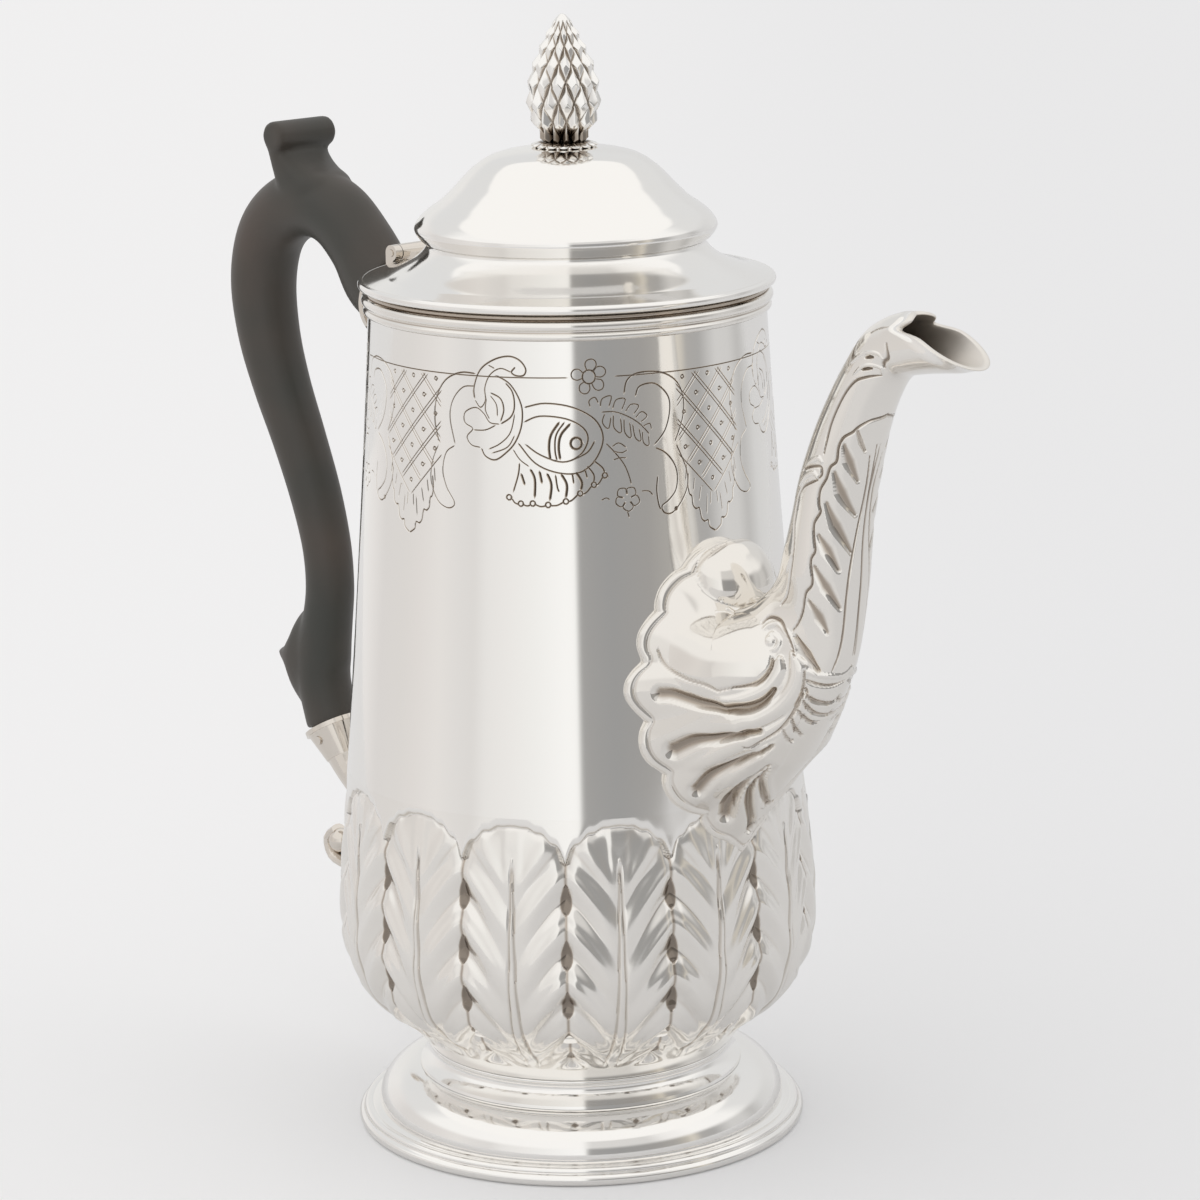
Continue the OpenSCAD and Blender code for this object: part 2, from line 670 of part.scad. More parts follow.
body_shell();
rim_moulding();
foot_collar();
foot_dome();
foot_rim();
spout_left();
spout_right();
handle();
upper_socket();
lower_socket();
lower_scroll();
upper_socket_pin();
lower_socket_pin();
hinge_bracket();
hinge_leaf();
hinge_pin();
lid_dome();
lid_wire();
lid_bezel();
finial_cone();
finial_calyx();
finial_stud();
finial_washer();
finial_nut();
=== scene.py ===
# %% [markdown]
# # A silver coffee pot
# The pot stands on its moulded foot. A band of chased leaves wraps the belly, an engraved border runs
# under the mouth, a cast spout grows out of a shell, and a dark wooden handle sits in two silver sockets.
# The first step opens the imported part, because its bodies carry every piece made below. A maker measures
# in millimetres and Blender in metres, so the lists are in millimetres until a mesh is made.

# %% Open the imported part
import math
import bpy
import numpy as np
from mathutils import Matrix, Vector
from mathutils.geometry import delaunay_2d_cdt


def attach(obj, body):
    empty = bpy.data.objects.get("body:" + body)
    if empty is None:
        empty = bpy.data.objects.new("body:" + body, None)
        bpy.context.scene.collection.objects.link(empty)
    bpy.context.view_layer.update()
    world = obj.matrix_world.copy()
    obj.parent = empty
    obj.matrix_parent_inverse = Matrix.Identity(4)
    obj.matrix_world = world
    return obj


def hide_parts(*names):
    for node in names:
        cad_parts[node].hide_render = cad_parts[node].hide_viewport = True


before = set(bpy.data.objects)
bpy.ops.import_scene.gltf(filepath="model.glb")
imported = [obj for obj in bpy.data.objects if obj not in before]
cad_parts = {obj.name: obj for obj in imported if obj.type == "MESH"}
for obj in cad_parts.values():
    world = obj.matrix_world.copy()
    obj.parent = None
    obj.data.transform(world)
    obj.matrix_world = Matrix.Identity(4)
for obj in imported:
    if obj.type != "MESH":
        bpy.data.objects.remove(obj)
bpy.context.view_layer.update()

# %% [markdown]
# ## Curves
# A silversmith marks a few points and bends a strip through them to draw the line between. Blender's own
# curve objects could do that, but the points would have to be read back from them. Two small functions
# give the same lines as arrays of numbers. Three more give the soft step, the bell and the arch that
# nearly every shape below is blended from.

# %% Smooth lines through a few points
MM = 0.001


def smooth_through(x, y, at):
    """Cubic through the points (x, y): each span is a Hermite curve whose end slopes are the harmonic
    mean of the slopes of the spans on both sides, or 0 where they differ in sign."""
    x, y, at = np.asarray(x, float), np.asarray(y, float), np.asarray(at, float)
    step, rise = np.diff(x), np.diff(y)
    slope = rise / step
    both = slope[1:] * slope[:-1]
    inner = np.where(both > 0, 2 * both / (slope[1:] + slope[:-1] + 1e-12), 0.0)
    m = np.concatenate([[slope[0]], inner, [slope[-1]]])
    i = np.clip(np.searchsorted(x, at) - 1, 0, len(step) - 1)
    t = np.clip((at - x[i]) / step[i], 0, 1)
    return ((1 + 2 * t) * (1 - t) ** 2 * y[i] + t * (1 - t) ** 2 * step[i] * m[i]
            + t * t * (3 - 2 * t) * y[i + 1] + t * t * (t - 1) * step[i] * m[i + 1])


def curve_through(points, count):
    """Points spread along a smooth curve through the given ones: a Catmull-Rom curve, every column
    of the list taken as one coordinate, count places evenly spaced by place in the list."""
    p = np.asarray(points, float)
    p = np.vstack([2 * p[0] - p[1], p, 2 * p[-1] - p[-2]])
    t = np.linspace(0, len(p) - 3, count)
    i = np.minimum(t.astype(int), len(p) - 4)
    t = (t - i)[:, None]
    a, b, c, d = p[i], p[i + 1], p[i + 2], p[i + 3]
    return 0.5 * (2 * b + (c - a) * t + (2 * a - 5 * b + 4 * c - d) * t ** 2
                  + (3 * b - a - 3 * c + d) * t ** 3)


def step_up(x, low, high):
    """0 below low, 1 above high, and 3t^2 - 2t^3 between them."""
    t = np.clip((x - low) / (high - low), 0, 1)
    return t * t * (3 - 2 * t)


def bell(x, width):
    """1 at x = 0 and soon 0 past the width, on both sides: e to the power -(x / width)^2."""
    return np.exp(-(x / width) ** 2)


def arch(x, power=0.5):
    """1 at x = 0 and 0 from x = 1 on: (1 - x^2) to a power, which is a half circle for the power 0.5."""
    return np.maximum(1 - x * x, 0) ** power


print("a quarter of the way up a soft step:", step_up(0.25, 0, 1))

# %% [markdown]
# ## Sheets of points
# Thin metal is a grid of points here. Rows run along it and columns run round it, so numpy works out a
# whole sheet at once, and foreach_set hands it to Blender far quicker than adding points one by one.
# Every point also carries its tarnish, and in some places painted shade, from 0 for bright silver to 1 for a
# black crease.

# %% Grids and meshes
def grid_faces(rows, cols, ring=True, loop=False):
    """Quads between neighbouring points of a grid; each looks along (next column) x (next row)."""
    i = np.arange(rows if loop else rows - 1)
    j = np.arange(cols if ring else cols - 1)
    i, j = np.meshgrid(i, j, indexing="ij")
    up, on = (i + 1) % rows, (j + 1) % cols
    return np.stack([i * cols + j, i * cols + on, up * cols + on, up * cols + j], -1).reshape(-1, 4)


def grid_normals(p, ring=True):
    """Unit normals of a grid of points: (step to the next column) x (step to the next row), each step
    taken from the point before to the point after. With ring the columns close on themselves."""
    on = (np.roll(p, -1, 1) - np.roll(p, 1, 1)) if ring else np.gradient(p, axis=1)
    n = np.cross(on, np.gradient(p, axis=0))
    return n / np.maximum(np.linalg.norm(n, axis=2, keepdims=True), 1e-12)


def make_mesh(name, points, faces, shade=40.0, tarnish_and_shade=0.0, normals=None):
    """A mesh from points in millimetres and one array of equal faces, or a list of such arrays. Edges
    bent by more than shade degrees are sharp, unless the normal of every point is given."""
    faces = [faces] if isinstance(faces, np.ndarray) else faces
    mesh = bpy.data.meshes.new(name)
    mesh.vertices.add(len(points))
    mesh.vertices.foreach_set("co", (np.asarray(points) * MM).astype(np.float32).ravel())
    corners = np.concatenate([f.ravel() for f in faces]).astype(np.int32)
    sizes = np.concatenate([np.full(len(f), f.shape[1]) for f in faces])
    starts = np.concatenate([[0], np.cumsum(sizes)[:-1]]).astype(np.int32)
    mesh.loops.add(len(corners))
    mesh.loops.foreach_set("vertex_index", corners)
    mesh.polygons.add(len(sizes))
    mesh.polygons.foreach_set("loop_start", starts)
    mesh.update(calc_edges=True)
    mesh.validate()
    mesh.polygons.foreach_set("use_smooth", np.ones(len(mesh.polygons), bool))
    if shade < 180:
        mesh.set_sharp_from_angle(angle=math.radians(shade))
    if normals is not None:
        mesh.normals_split_custom_set_from_vertices(np.asarray(normals).reshape(-1, 3))
    dirt_and_shade = np.broadcast_to(np.asarray(tarnish_and_shade, float).ravel(), len(points))
    mesh.attributes.new("tarnish_and_shade", "FLOAT", "POINT").data.foreach_set("value", dirt_and_shade.astype(np.float32))
    return mesh


def piece(name, mesh, body, material, nodes=()):
    """Puts a mesh in the scene as a piece that moves with a body and stands for CAD nodes."""
    obj = bpy.data.objects.new(name, mesh)
    bpy.context.scene.collection.objects.link(obj)
    mesh.materials.append(material)
    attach(obj, body)
    if nodes:
        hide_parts(*nodes)
    return obj


print("a ring of 3 x 4 points has", len(grid_faces(3, 4)), "faces")

# %% [markdown]
# ## Silver and wood
# Polished silver is an almost white mirror, and age shows where no cloth reaches: a brown film in every
# crease and cut. So the tarnish of each point, and the shade painted into some hollows, picks its colour
# from a ramp. Hammered leaves are softer than the plain wall, and the inside of the spout is dull, which
# are copies of the silver with more roughness. The handle is a stained wood whose faint grain is a noise
# on the object's own coordinates.

# %% Nodes by name
def fill(tree, node, inputs):
    """Sets the inputs of a node by name or number. A value is set, and another node's output is linked."""
    for key, value in inputs.items():
        if isinstance(value, bpy.types.NodeSocket):
            tree.links.new(value, node.inputs[key])
        else:
            node.inputs[key].default_value = value


def add_node(tree, kind, inputs=(), **settings):
    """A new shader node of a kind, with its settings and inputs."""
    node = tree.nodes.new("ShaderNode" + kind)
    for key, value in settings.items():
        setattr(node, key, value)
    fill(tree, node, dict(inputs))
    return node


def colour_ramp(tree, factor, stops):
    """Colour on a ramp at the place that factor gives. A stop is (place, red, green, blue)."""
    node = add_node(tree, "ValToRGB", {0: factor})
    band = node.color_ramp.elements
    band.remove(band[-1])
    band[0].position = stops[0][0]
    band[0].color = (*stops[0][1:], 1)
    for place, *colour in stops[1:]:
        band.new(place).color = (*colour, 1)
    return node.outputs["Color"]


def principled(name, inputs):
    """A new material with its node tree and its shader."""
    material = bpy.data.materials.new(name)
    material.use_nodes = True
    shader = material.node_tree.nodes["Principled BSDF"]
    fill(material.node_tree, shader, inputs)
    return material, material.node_tree, shader


print("helpers for nodes are ready")

# %% [markdown]
# The first silver is the bright mirror of the plain wall, and two copies of it are made softer and
# duller. The small fittings have one plain browner silver. The wood is waxed by many hands and not
# varnished, so its roughness lies in the middle and it has no clear layer.

# %% The five finishes
BRIGHT, HAMMERED, DULL = 0.09, 0.17, 0.5
silver, tree, shader = principled("silver", {"Metallic": 1.0, "Roughness": BRIGHT})
dirt_and_shade = add_node(tree, "Attribute", attribute_name="tarnish_and_shade").outputs["Fac"]
# the ramp colours the tarnish, and also the shade painted into some valleys, grooves and hollows
film = [(0, 0.93, 0.915, 0.89), (0.12, 0.855, 0.825, 0.78), (0.45, 0.46, 0.40, 0.34), (1, 0.07, 0.055, 0.045)]
fill(tree, shader, {"Base Color": colour_ramp(tree, dirt_and_shade, film)})

# the plain wall above the leaves has less tarnish than they have, and there this silver stays bright
chased_silver = silver.copy()
chased_silver.name = "chased_silver"
tree = chased_silver.node_tree
worked = add_node(tree, "MapRange", {"Value": tree.nodes["Attribute"].outputs["Fac"], "From Min": 0.02,
                                     "From Max": 0.05, "To Min": BRIGHT, "To Max": HAMMERED})
fill(tree, tree.nodes["Principled BSDF"], {"Roughness": worked.outputs[0]})

dull_silver = silver.copy()
dull_silver.name = "dull_silver"
dull_silver.node_tree.nodes["Principled BSDF"].inputs["Roughness"].default_value = DULL

wood, tree, shader = principled("wood", {"Roughness": 0.46})
place = add_node(tree, "TexCoord").outputs["Object"]
grain = add_node(tree, "TexNoise", {"Vector": place, "Scale": 28})
stain = [(0.35, 0.043, 0.044, 0.038), (0.68, 0.080, 0.062, 0.051)]
fill(tree, shader, {"Base Color": colour_ramp(tree, grain.outputs["Fac"], stain)})

worn = principled("worn_silver", {"Metallic": 1.0, "Roughness": 0.1, "Base Color": (0.74, 0.69, 0.63, 1)})[0]
print("materials:", [m.name for m in (silver, chased_silver, dull_silver, wood, worn)])

# %% [markdown]
# ## The body
# The real body is raised from one sheet of silver over stakes. It is round, so one outline could simply
# be turned. Here the outline is a function instead, the radius at any height, because the leaves, the
# border and the spout's shell all have to lie on the same wall.

# %% Outline of the body
BASE, TOP, MOUTH, WALL = 21.0, 210.5, 48.0, 1.1
BELLY_R = [38.4, 43.5, 51.3, 56.1, 58.5, 59.6, 59.4, 58.7, 57.8, 57.0]
wall_share = np.array([0, .032, .063, .095, .127, .17, .21, .26, .31, .35, .45, .55, .65, .75, .85, .93, 1])
curve_z = BASE + (TOP - BASE) * wall_share
late = np.clip((curve_z - curve_z[9]) / (TOP - curve_z[9]), 0, 1)
curve_r = BELLY_R[-1] + (MOUTH - BELLY_R[-1]) * (1.25 * late - 0.25 * late ** 2)
curve_r[:len(BELLY_R)] = BELLY_R


def wall_r(z):
    """Radius of the wall's outer face at height z."""
    return smooth_through(curve_z, curve_r, z)


print("widest", round(float(wall_r(np.linspace(BASE, TOP, 200)).max()), 2), "mm from the axis")

# %% [markdown]
# ## The chased leaves
# Fourteen acanthus leaves are hammered inwards round the belly with the body full of pitch. A sculpted
# mesh or a texture could show them, but a formula keeps them sharp and alike: every point knows how far
# it is from its leaf's rib and how far up the wall it is, and from these how deep the punch went.

# %% Chased leaves: pits between two leaves
# the place of a pit's middle up the wall, its half height, half width and depth
PITS = [[55.8, 3.8, 1.6, 1.9], [42.3, 3.8, 1.6, 1.9], [29.0, 3.8, 1.6, 1.9], [17.4, 2.9, 1.4, 1.9],
        [7.5, 2.9, 1.4, 1.2]]


def with_pits(depth, tarnish_and_shade, run, gap, r):
    """Depth and tarnish with the pits sunk into them, run mm up the wall and gap mm from the line between
    two leaves. A pit is an arch across a drop, which is an arch along the wall, wider below than above."""
    for at, tall, wide, deep in PITS:
        y = (run - at) / tall
        edge = wide * arch(y, 0.75) * (1 - 0.35 * y) * (r / 59)
        pit = arch(gap / np.maximum(edge, 1e-3), 0.6) * (np.abs(y) < 1)
        depth = np.maximum(depth, depth * (1 - pit) + deep * pit)
        tarnish_and_shade = np.maximum(tarnish_and_shade, 0.72 * step_up(pit, 0.05, 0.7))
    return depth, tarnish_and_shade


print(len(PITS), "pits, the deepest", max(pit[-1] for pit in PITS), "mm")

# %% [markdown]
# One leaf is a spine with fingers on both sides. The fingers slope up and outwards, and the leaf's top is a
# round crown with small flutes.

# %% Chased leaves: the depth of the punch
LEAVES = 14
TURN = 2 * np.pi / LEAVES
RIB_AT = math.radians(-8)
LEAF_LOW, LEAF_HIGH = 24.0, 92.0
# how far up the wall the leaves part, how much higher their round tops are, and the lobes of the edge
SHOULDER, CROWN, LOBES, LOBE_HIGH = 65.0, 8.6, 7, 0.55
# how much of the wall one finger takes, how much lower it starts than it ends, and flutes in the crown
FINGER, FINGER_RISE, FLUTES = 13.3, 17, 11


def leaf_depth(w, run, r):
    """Depth of the chasing below the wall and its tarnish with painted shade, at angle w, run mm up the wall
    from the leaves' foot, where the wall has radius r. For the leaf round its rib, a is 0 on the rib and 1 in
    the gap to the next leaf, x is the distance from the rib and gap the distance from the gap. The depth is
    a sum of soft steps, bells and waves of these."""
    u = (w - RIB_AT) / TURN
    u = u - np.round(u)
    a = np.abs(2 * u)
    x = np.abs(u) * TURN * r
    gap = (1 - a) * TURN * r / 2
    top = SHOULDER + CROWN * np.maximum(1 - a ** 2.1, 0) ** 0.72 + LOBE_HIGH * np.cos(LOBES * np.pi * a) * a
    inside = step_up(top - run, -0.2, 0.5)
    fade = step_up(run, 1, 7)
    # fingers slope up and outwards from the rib and end between the pits
    place = (run + FINGER_RISE * (1 - a) ** 1.35 - PITS[0][0]) / FINGER
    f = place - np.floor(place)
    finger = np.sin(np.pi * f) ** 1.5
    reach = 0.35 + 1.75 * step_up(a, 0.05, 0.95)
    depth = reach * (1 - finger) + 0.3 * bell(f - 0.62, 0.11) * step_up(a, 0.15, 0.7)
    # the crown of the leaf opens in small flutes round a point on the rib
    fan = np.arctan2(x, run - 55)
    crown = step_up(run, 57, 65) * inside
    flutes = 0.42 * crown * (0.5 - 0.5 * np.cos(fan * FLUTES)) * step_up(x, 0.5, 3)
    depth = depth * (1 - 0.75 * crown) + flutes
    # the leaf bulges between rib and gap, and sinks to the crease it shares with its neighbour
    depth += 0.75 * bell(gap, 1.5) + 0.30 * bell(x, 2.6)
    # two fine lines close on each other along the rib
    half = 1.55 * np.clip(1 - run / 66, 0, 1) ** 0.8
    line = bell(x - half, 0.34) * step_up(run, 1, 4) * (1 - step_up(run, 62, 65))
    depth += 0.42 * line - 0.30 * bell(x, 2.6) * (x < half)
    # the edge of the leaf is turned down against the plain wall
    depth += 0.85 * np.exp(-np.maximum(top - run, 0) / 1.5)
    depth *= fade * inside
    depth += 0.28 * np.exp(-np.maximum(run - top, 0) / 0.6) * (1 - inside) * fade
    # tarnish stays in the fine lines, in the crease and along the top edge, and painted shade darkens the
    # valleys between the fingers
    tarnish_and_shade = 0.35 * line * fade + 0.45 * bell(gap, 0.45) * fade * inside
    tarnish_and_shade += 0.2 * bell(run - top, 0.35)
    # painted shade: a soft dark line down each valley between two fingers, brown like the tarnish
    tarnish_and_shade += 0.16 * bell(np.minimum(f, 1 - f), 0.07) * step_up(a, 0.1, 0.6) * fade * inside
    depth, tarnish_and_shade = with_pits(depth, tarnish_and_shade, run, gap, r)
    tarnish_and_shade = np.maximum(tarnish_and_shade, 0.05 * fade * inside + 0.02)
    return depth, np.clip(tarnish_and_shade, 0, 1)


between_leaves = leaf_depth(RIB_AT + TURN / 2, PITS[1][0], 59.0)[0]
print("between two leaves a pit is", round(float(between_leaves), 2), "mm deep")

# %% [markdown]
# The whole band is one grid of points, moved along the wall's normal by the depth. It is then parted into
# four pieces, which keep the normals of the whole, so no seam shows between them.

# %% Chased leaves: hammer them into the wall
LEAF_ROWS, LEAF_COLS = 250, 1400
fine_z = np.linspace(BASE, LEAF_HIGH, 400)
fine_run = np.concatenate([[0], np.cumsum(np.hypot(np.diff(fine_z), np.diff(wall_r(fine_z))))])
fine_run -= np.interp(LEAF_LOW, fine_z, fine_run)
run = np.linspace(fine_run[0], fine_run[-1], LEAF_ROWS)[:, None]
leaf_z = np.interp(run, fine_run, fine_z)
leaf_r = wall_r(leaf_z.ravel())[:, None]
w = np.linspace(0, 2 * np.pi, LEAF_COLS, endpoint=False)[None, :]
depth, dark = leaf_depth(w, run, leaf_r)
slope = np.gradient(leaf_r.ravel(), leaf_z.ravel())[:, None]
tilt = 1 / np.sqrt(1 + slope ** 2)
r = leaf_r - depth * tilt
band = np.stack([r * np.cos(w), r * np.sin(w), leaf_z + depth * tilt * slope + 0 * w], -1)
band_normals = grid_normals(band)
for k in range(4):
    cols = np.arange(k * LEAF_COLS // 4, (k + 1) * LEAF_COLS // 4 + 1) % LEAF_COLS
    name = "leaf_band_%d" % (k + 1)
    mesh = make_mesh(name, band[:, cols].reshape(-1, 3), grid_faces(LEAF_ROWS, len(cols), False), 180,
                     dark[:, cols], band_normals[:, cols])
    piece(name, mesh, "pot", chased_silver, ["body_shell"])
print("leaf band: 4 x", len(mesh.polygons), "faces, deepest", round(float(depth.max()), 2), "mm")

# %% [markdown]
# ## The engraved border
# An engraver pushes a V-shaped graver through the silver, four times round the same pattern: a netted
# panel, scrolls on each side of it, a shell and an oval shield with a fringe. A dark line in a texture
# would do from far off, but real cuts catch the light, so the lines are cut into the wall's own mesh.

# %% Border: scrolls, shell and shield
# One line is its weight, then its places as (tenths of a degree round the pot, tenths of a mm up).
WEIGHTS = {1: 0.18, 2: 0.24, 3: 0.36}
SCROLLS = [
    [2, [-287, 1916], [-275, 1951], [-238, 1966], [-172, 1961], [-125, 1934], [-107, 1891], [-115, 1845],
     [-142, 1794]],
    [2, [-255, 1909], [-240, 1934], [-195, 1937], [-158, 1907], [-153, 1872], [-170, 1826], [-207, 1791]],
    [2, [-203, 1788], [-173, 1774], [-148, 1748], [-138, 1718], [-145, 1683], [-168, 1661], [-188, 1649],
     [-182, 1633], [-158, 1631], [-127, 1657], [-107, 1691], [-108, 1726], [-123, 1763], [-138, 1791]],
    [2, [-197, 1723], [-202, 1688], [-198, 1655], [-192, 1640]],
    [2, [-697, 1966], [-748, 1966], [-798, 1945], [-828, 1902], [-832, 1848], [-817, 1797]],
    [1, [-702, 1937], [-740, 1932], [-772, 1900], [-780, 1858], [-762, 1795]],
    [1, [-817, 1794], [-838, 1753], [-842, 1705], [-818, 1660], [-783, 1645], [-762, 1658], [-788, 1693],
     [-802, 1733], [-792, 1775], [-762, 1795]],
]
SHELL = [
    [2, [-702, 1905], [-705, 1934], [-687, 1975], [-648, 2000], [-605, 2010], [-573, 2002], [-555, 1982],
     [-560, 1967], [-580, 1965], [-595, 1973], [-583, 1986]],
    [1, [-702, 1905], [-685, 1888], [-670, 1906], [-672, 1935], [-657, 1965], [-627, 1981], [-595, 1973]],
    [1, [-663, 1988], [-642, 1980]],
    [2, [-642, 1966], [-598, 1944], [-568, 1898], [-567, 1851], [-585, 1810], [-613, 1783], [-642, 1767],
     [-670, 1775], [-682, 1794]],
    [1, [-682, 1794], [-712, 1799], [-725, 1818], [-708, 1837], [-732, 1850], [-732, 1874], [-700, 1887],
     [-675, 1874], [-657, 1854], [-627, 1851]],
    [2, [-627, 1851], [-598, 1868], [-587, 1892], [-592, 1926], [-613, 1949]],
    [2, [-657, 1924], [-627, 1911], [-617, 1885], [-627, 1855]],
    [1, [-667, 1912], [-670, 1883], [-657, 1860]],
    [1, [-657, 1918], [-638, 1896], [-635, 1867]],
    [1, [-585, 1880], [-598, 1833], [-627, 1806], [-663, 1790]],
    [1, [-708, 1834], [-670, 1836], [-638, 1849]],
    [1, [-585, 1828], [-607, 1798], [-655, 1781]],
]
SHIELD = [
    [2, [-560, 1892], [-502, 1902], [-428, 1892], [-368, 1862], [-347, 1817], [-370, 1768], [-412, 1740],
     [-470, 1740], [-530, 1762], [-578, 1810]],
    [2, [-563, 1857], [-517, 1872], [-448, 1866], [-402, 1845], [-388, 1816], [-410, 1781], [-457, 1765],
     [-517, 1782], [-560, 1808]],
    [3, [-462, 1861], [-487, 1829], [-493, 1800], [-490, 1771]],
    [2, [-448, 1861], [-473, 1829], [-477, 1794], [-472, 1768]],
    [3, [-432, 1857], [-460, 1829], [-467, 1800], [-463, 1768]],
    [2, [-430, 1770], [-390, 1787], [-368, 1815]],
    [1, [-592, 1795], [-572, 1770], [-545, 1753]],
]
print(len(SCROLLS + SHELL + SHIELD), "lines, with half widths of", *WEIGHTS.values(), "mm")

# %% [markdown]
# A fringe of tassels and balls hangs below the shield, as on a cushion's cloth. Its lines are drawn place by
# place too. A ball is only a small ring, so its middle is enough.

# %% Border: fringe
FRINGE = [
    [2, [-573, 1764], [-577, 1734], [-592, 1690]],
    [3, [-570, 1740], [-558, 1708]],
    [3, [-545, 1750], [-532, 1724], [-533, 1677]],
    [3, [-520, 1747], [-512, 1712]],
    [3, [-500, 1741], [-488, 1712], [-493, 1672]],
    [3, [-462, 1738], [-447, 1712], [-450, 1680]],
    [2, [-477, 1738], [-472, 1706], [-467, 1695]],
    [2, [-432, 1738], [-428, 1712]],
    [3, [-422, 1741], [-407, 1717], [-410, 1698]],
    [2, [-398, 1746], [-392, 1725]],
    [2, [-392, 1755], [-375, 1734], [-375, 1716]],
    [2, [-373, 1766], [-352, 1750], [-345, 1738]],
    [2, [-595, 1679], [-587, 1669], [-577, 1665]],
    [2, [-565, 1665], [-553, 1662], [-543, 1665]],
    [2, [-532, 1666], [-517, 1661], [-502, 1663]],
    [2, [-490, 1663], [-473, 1664], [-457, 1671]],
    [2, [-445, 1671], [-432, 1677], [-418, 1689]],
    [2, [-405, 1688], [-393, 1695], [-382, 1707]],
    [2, [-370, 1707], [-360, 1715], [-350, 1729]],
]
FRINGE_BALLS = [[-602, 1681], [-570, 1667], [-538, 1668], [-497, 1665], [-450, 1673], [-412, 1691],
                [-375, 1710], [-345, 1731]]
print(len(FRINGE), "lines and", len(FRINGE_BALLS), "balls in the fringe")

# %% [markdown]
# Two five-petalled flowers stand beside the shield. Each petal is one line that bends round and nearly
# meets itself, because the engraver leaves such a gap where the graver is lifted.

# %% Border: two flowers
UPPER_FLOWER = [
    [1, [-387, 1977], [-392, 1990], [-387, 2000], [-373, 2003], [-363, 1997], [-362, 1986], [-372, 1975]],
    [1, [-370, 1974], [-360, 1984], [-347, 1985], [-337, 1978], [-337, 1968], [-348, 1961], [-363, 1962]],
    [1, [-365, 1957], [-348, 1954], [-342, 1944], [-345, 1934], [-357, 1930], [-368, 1935], [-375, 1948]],
    [1, [-382, 1946], [-380, 1933], [-388, 1924], [-400, 1924], [-408, 1931], [-407, 1943], [-395, 1951]],
    [1, [-400, 1959], [-415, 1955], [-427, 1960], [-430, 1970], [-423, 1979], [-410, 1980], [-397, 1971]],
]
LOWER_FLOWER = [
    [1, [-285, 1682], [-285, 1697], [-267, 1698], [-262, 1683], [-277, 1677]],
    [1, [-277, 1675], [-260, 1680], [-252, 1665], [-267, 1656], [-278, 1668]],
    [1, [-280, 1667], [-270, 1654], [-283, 1644], [-298, 1653], [-290, 1666]],
    [1, [-292, 1668], [-302, 1655], [-317, 1664], [-313, 1678], [-295, 1675]],
    [1, [-295, 1677], [-312, 1682], [-308, 1697], [-290, 1697], [-288, 1682]],
    [1, [-357, 1673], [-343, 1678], [-333, 1673]],
    [1, [-287, 1644], [-282, 1628]],
    [1, [-247, 1689], [-225, 1687], [-213, 1676]],
]
print(len(UPPER_FLOWER + LOWER_FLOWER), "lines in the flowers")

# %% [markdown]
# A spray of small leaves runs from the shield to the netted panel, and one larger leaf hangs under that
# panel. The panel is the same on both sides of its middle, so only its right half is drawn.

# %% Border: spray and panel leaf
SPRAY = [
    [1, [-353, 1879], [-313, 1878], [-272, 1863], [-240, 1843], [-215, 1818]],
    [1, [-380, 1891], [-383, 1906], [-367, 1914], [-357, 1899]],
    [1, [-353, 1890], [-347, 1910], [-322, 1915], [-330, 1888]],
    [1, [-320, 1884], [-308, 1906], [-283, 1906], [-295, 1879]],
    [1, [-285, 1875], [-267, 1893], [-245, 1888], [-262, 1868]],
    [1, [-257, 1859], [-238, 1874], [-222, 1863], [-243, 1849]],
    [1, [-235, 1840], [-215, 1845], [-210, 1830]],
    [1, [-340, 1877], [-348, 1855], [-332, 1840], [-323, 1870]],
    [1, [-317, 1874], [-317, 1842], [-297, 1829], [-298, 1867]],
    [1, [-288, 1864], [-287, 1829], [-270, 1816], [-273, 1856]],
    [1, [-265, 1851], [-258, 1815], [-242, 1807], [-247, 1839]],
    [1, [-237, 1831], [-235, 1802], [-220, 1794], [-220, 1819]],
    [1, [-342, 1808], [-317, 1784], [-293, 1756], [-280, 1729], [-273, 1705]],
    [1, [-325, 1796], [-305, 1805], [-282, 1792]],
    [1, [-322, 1787], [-298, 1782], [-280, 1788]],
    [1, [-322, 1766], [-303, 1770], [-283, 1769]],
]
# the leaf under the netted panel, as degrees and mm: the panel's foot, the leaf's right edge, its veins
PANEL_FOOT = [[0, 166.3], [5.7, 171.6], [11.45, 177.0]]
LEAF_TIPS = [[8.2, 172], [8.6, 169.1], [8.2, 166.9], [7.5, 166.3], [7.3, 164.2], [6.3, 163.2], [5.2, 163.2],
             [4.7, 160.9], [3.7, 159.9], [2.4, 160], [2.1, 158.5], [0.6, 157.5], [0, 157.3]]
LEAF_VEINS = [[[2.3, 166.4], [2.9, 161.3]], [[4.3, 168.6], [5.3, 164.8]], [[6.3, 170.9], [7, 167.4]],
              [[1.1, 167], [1.4, 163.5]], [[8.8, 174], [9.3, 170]]]
DRAWN = SCROLLS + SHELL + SHIELD + FRINGE + UPPER_FLOWER + SPRAY + LOWER_FLOWER
print(len(DRAWN), "lines drawn by hand")

# %% [markdown]
# The netted panel, the balls and the leaf under the panel are regular, so loops draw them. The quarter
# is drawn flat, with degrees round the pot one way and height the other.

# %% Border: all lines of one quarter
BAND_LOW, BAND_HIGH, BAND_STEPS = 154.0, 203.0, 70
QUARTER_FROM, PANEL_AT, MM_PER_DEGREE = -77.0, -2.0, 0.89
NET_TOP, NET_WIDE, NET_HIGH, NET_HALF = 194.6, 4.4, 4.13, 2.6
TOP_LINE, TOP_LINE_GAP = 196.1, (-43.5, -32.5)
BALL_R, DOT_R = 0.62, 0.42
# weight, place, radius and corners of the dot in a scroll, the shield's ring and the eye of the flower
CIRCLES = [[3, (-14.6, 163.9), 0.3, 8], [3, (-42.0, 180.8), 1.35, 14], [2, (-38.2, 196.2), 1.6, 16]]


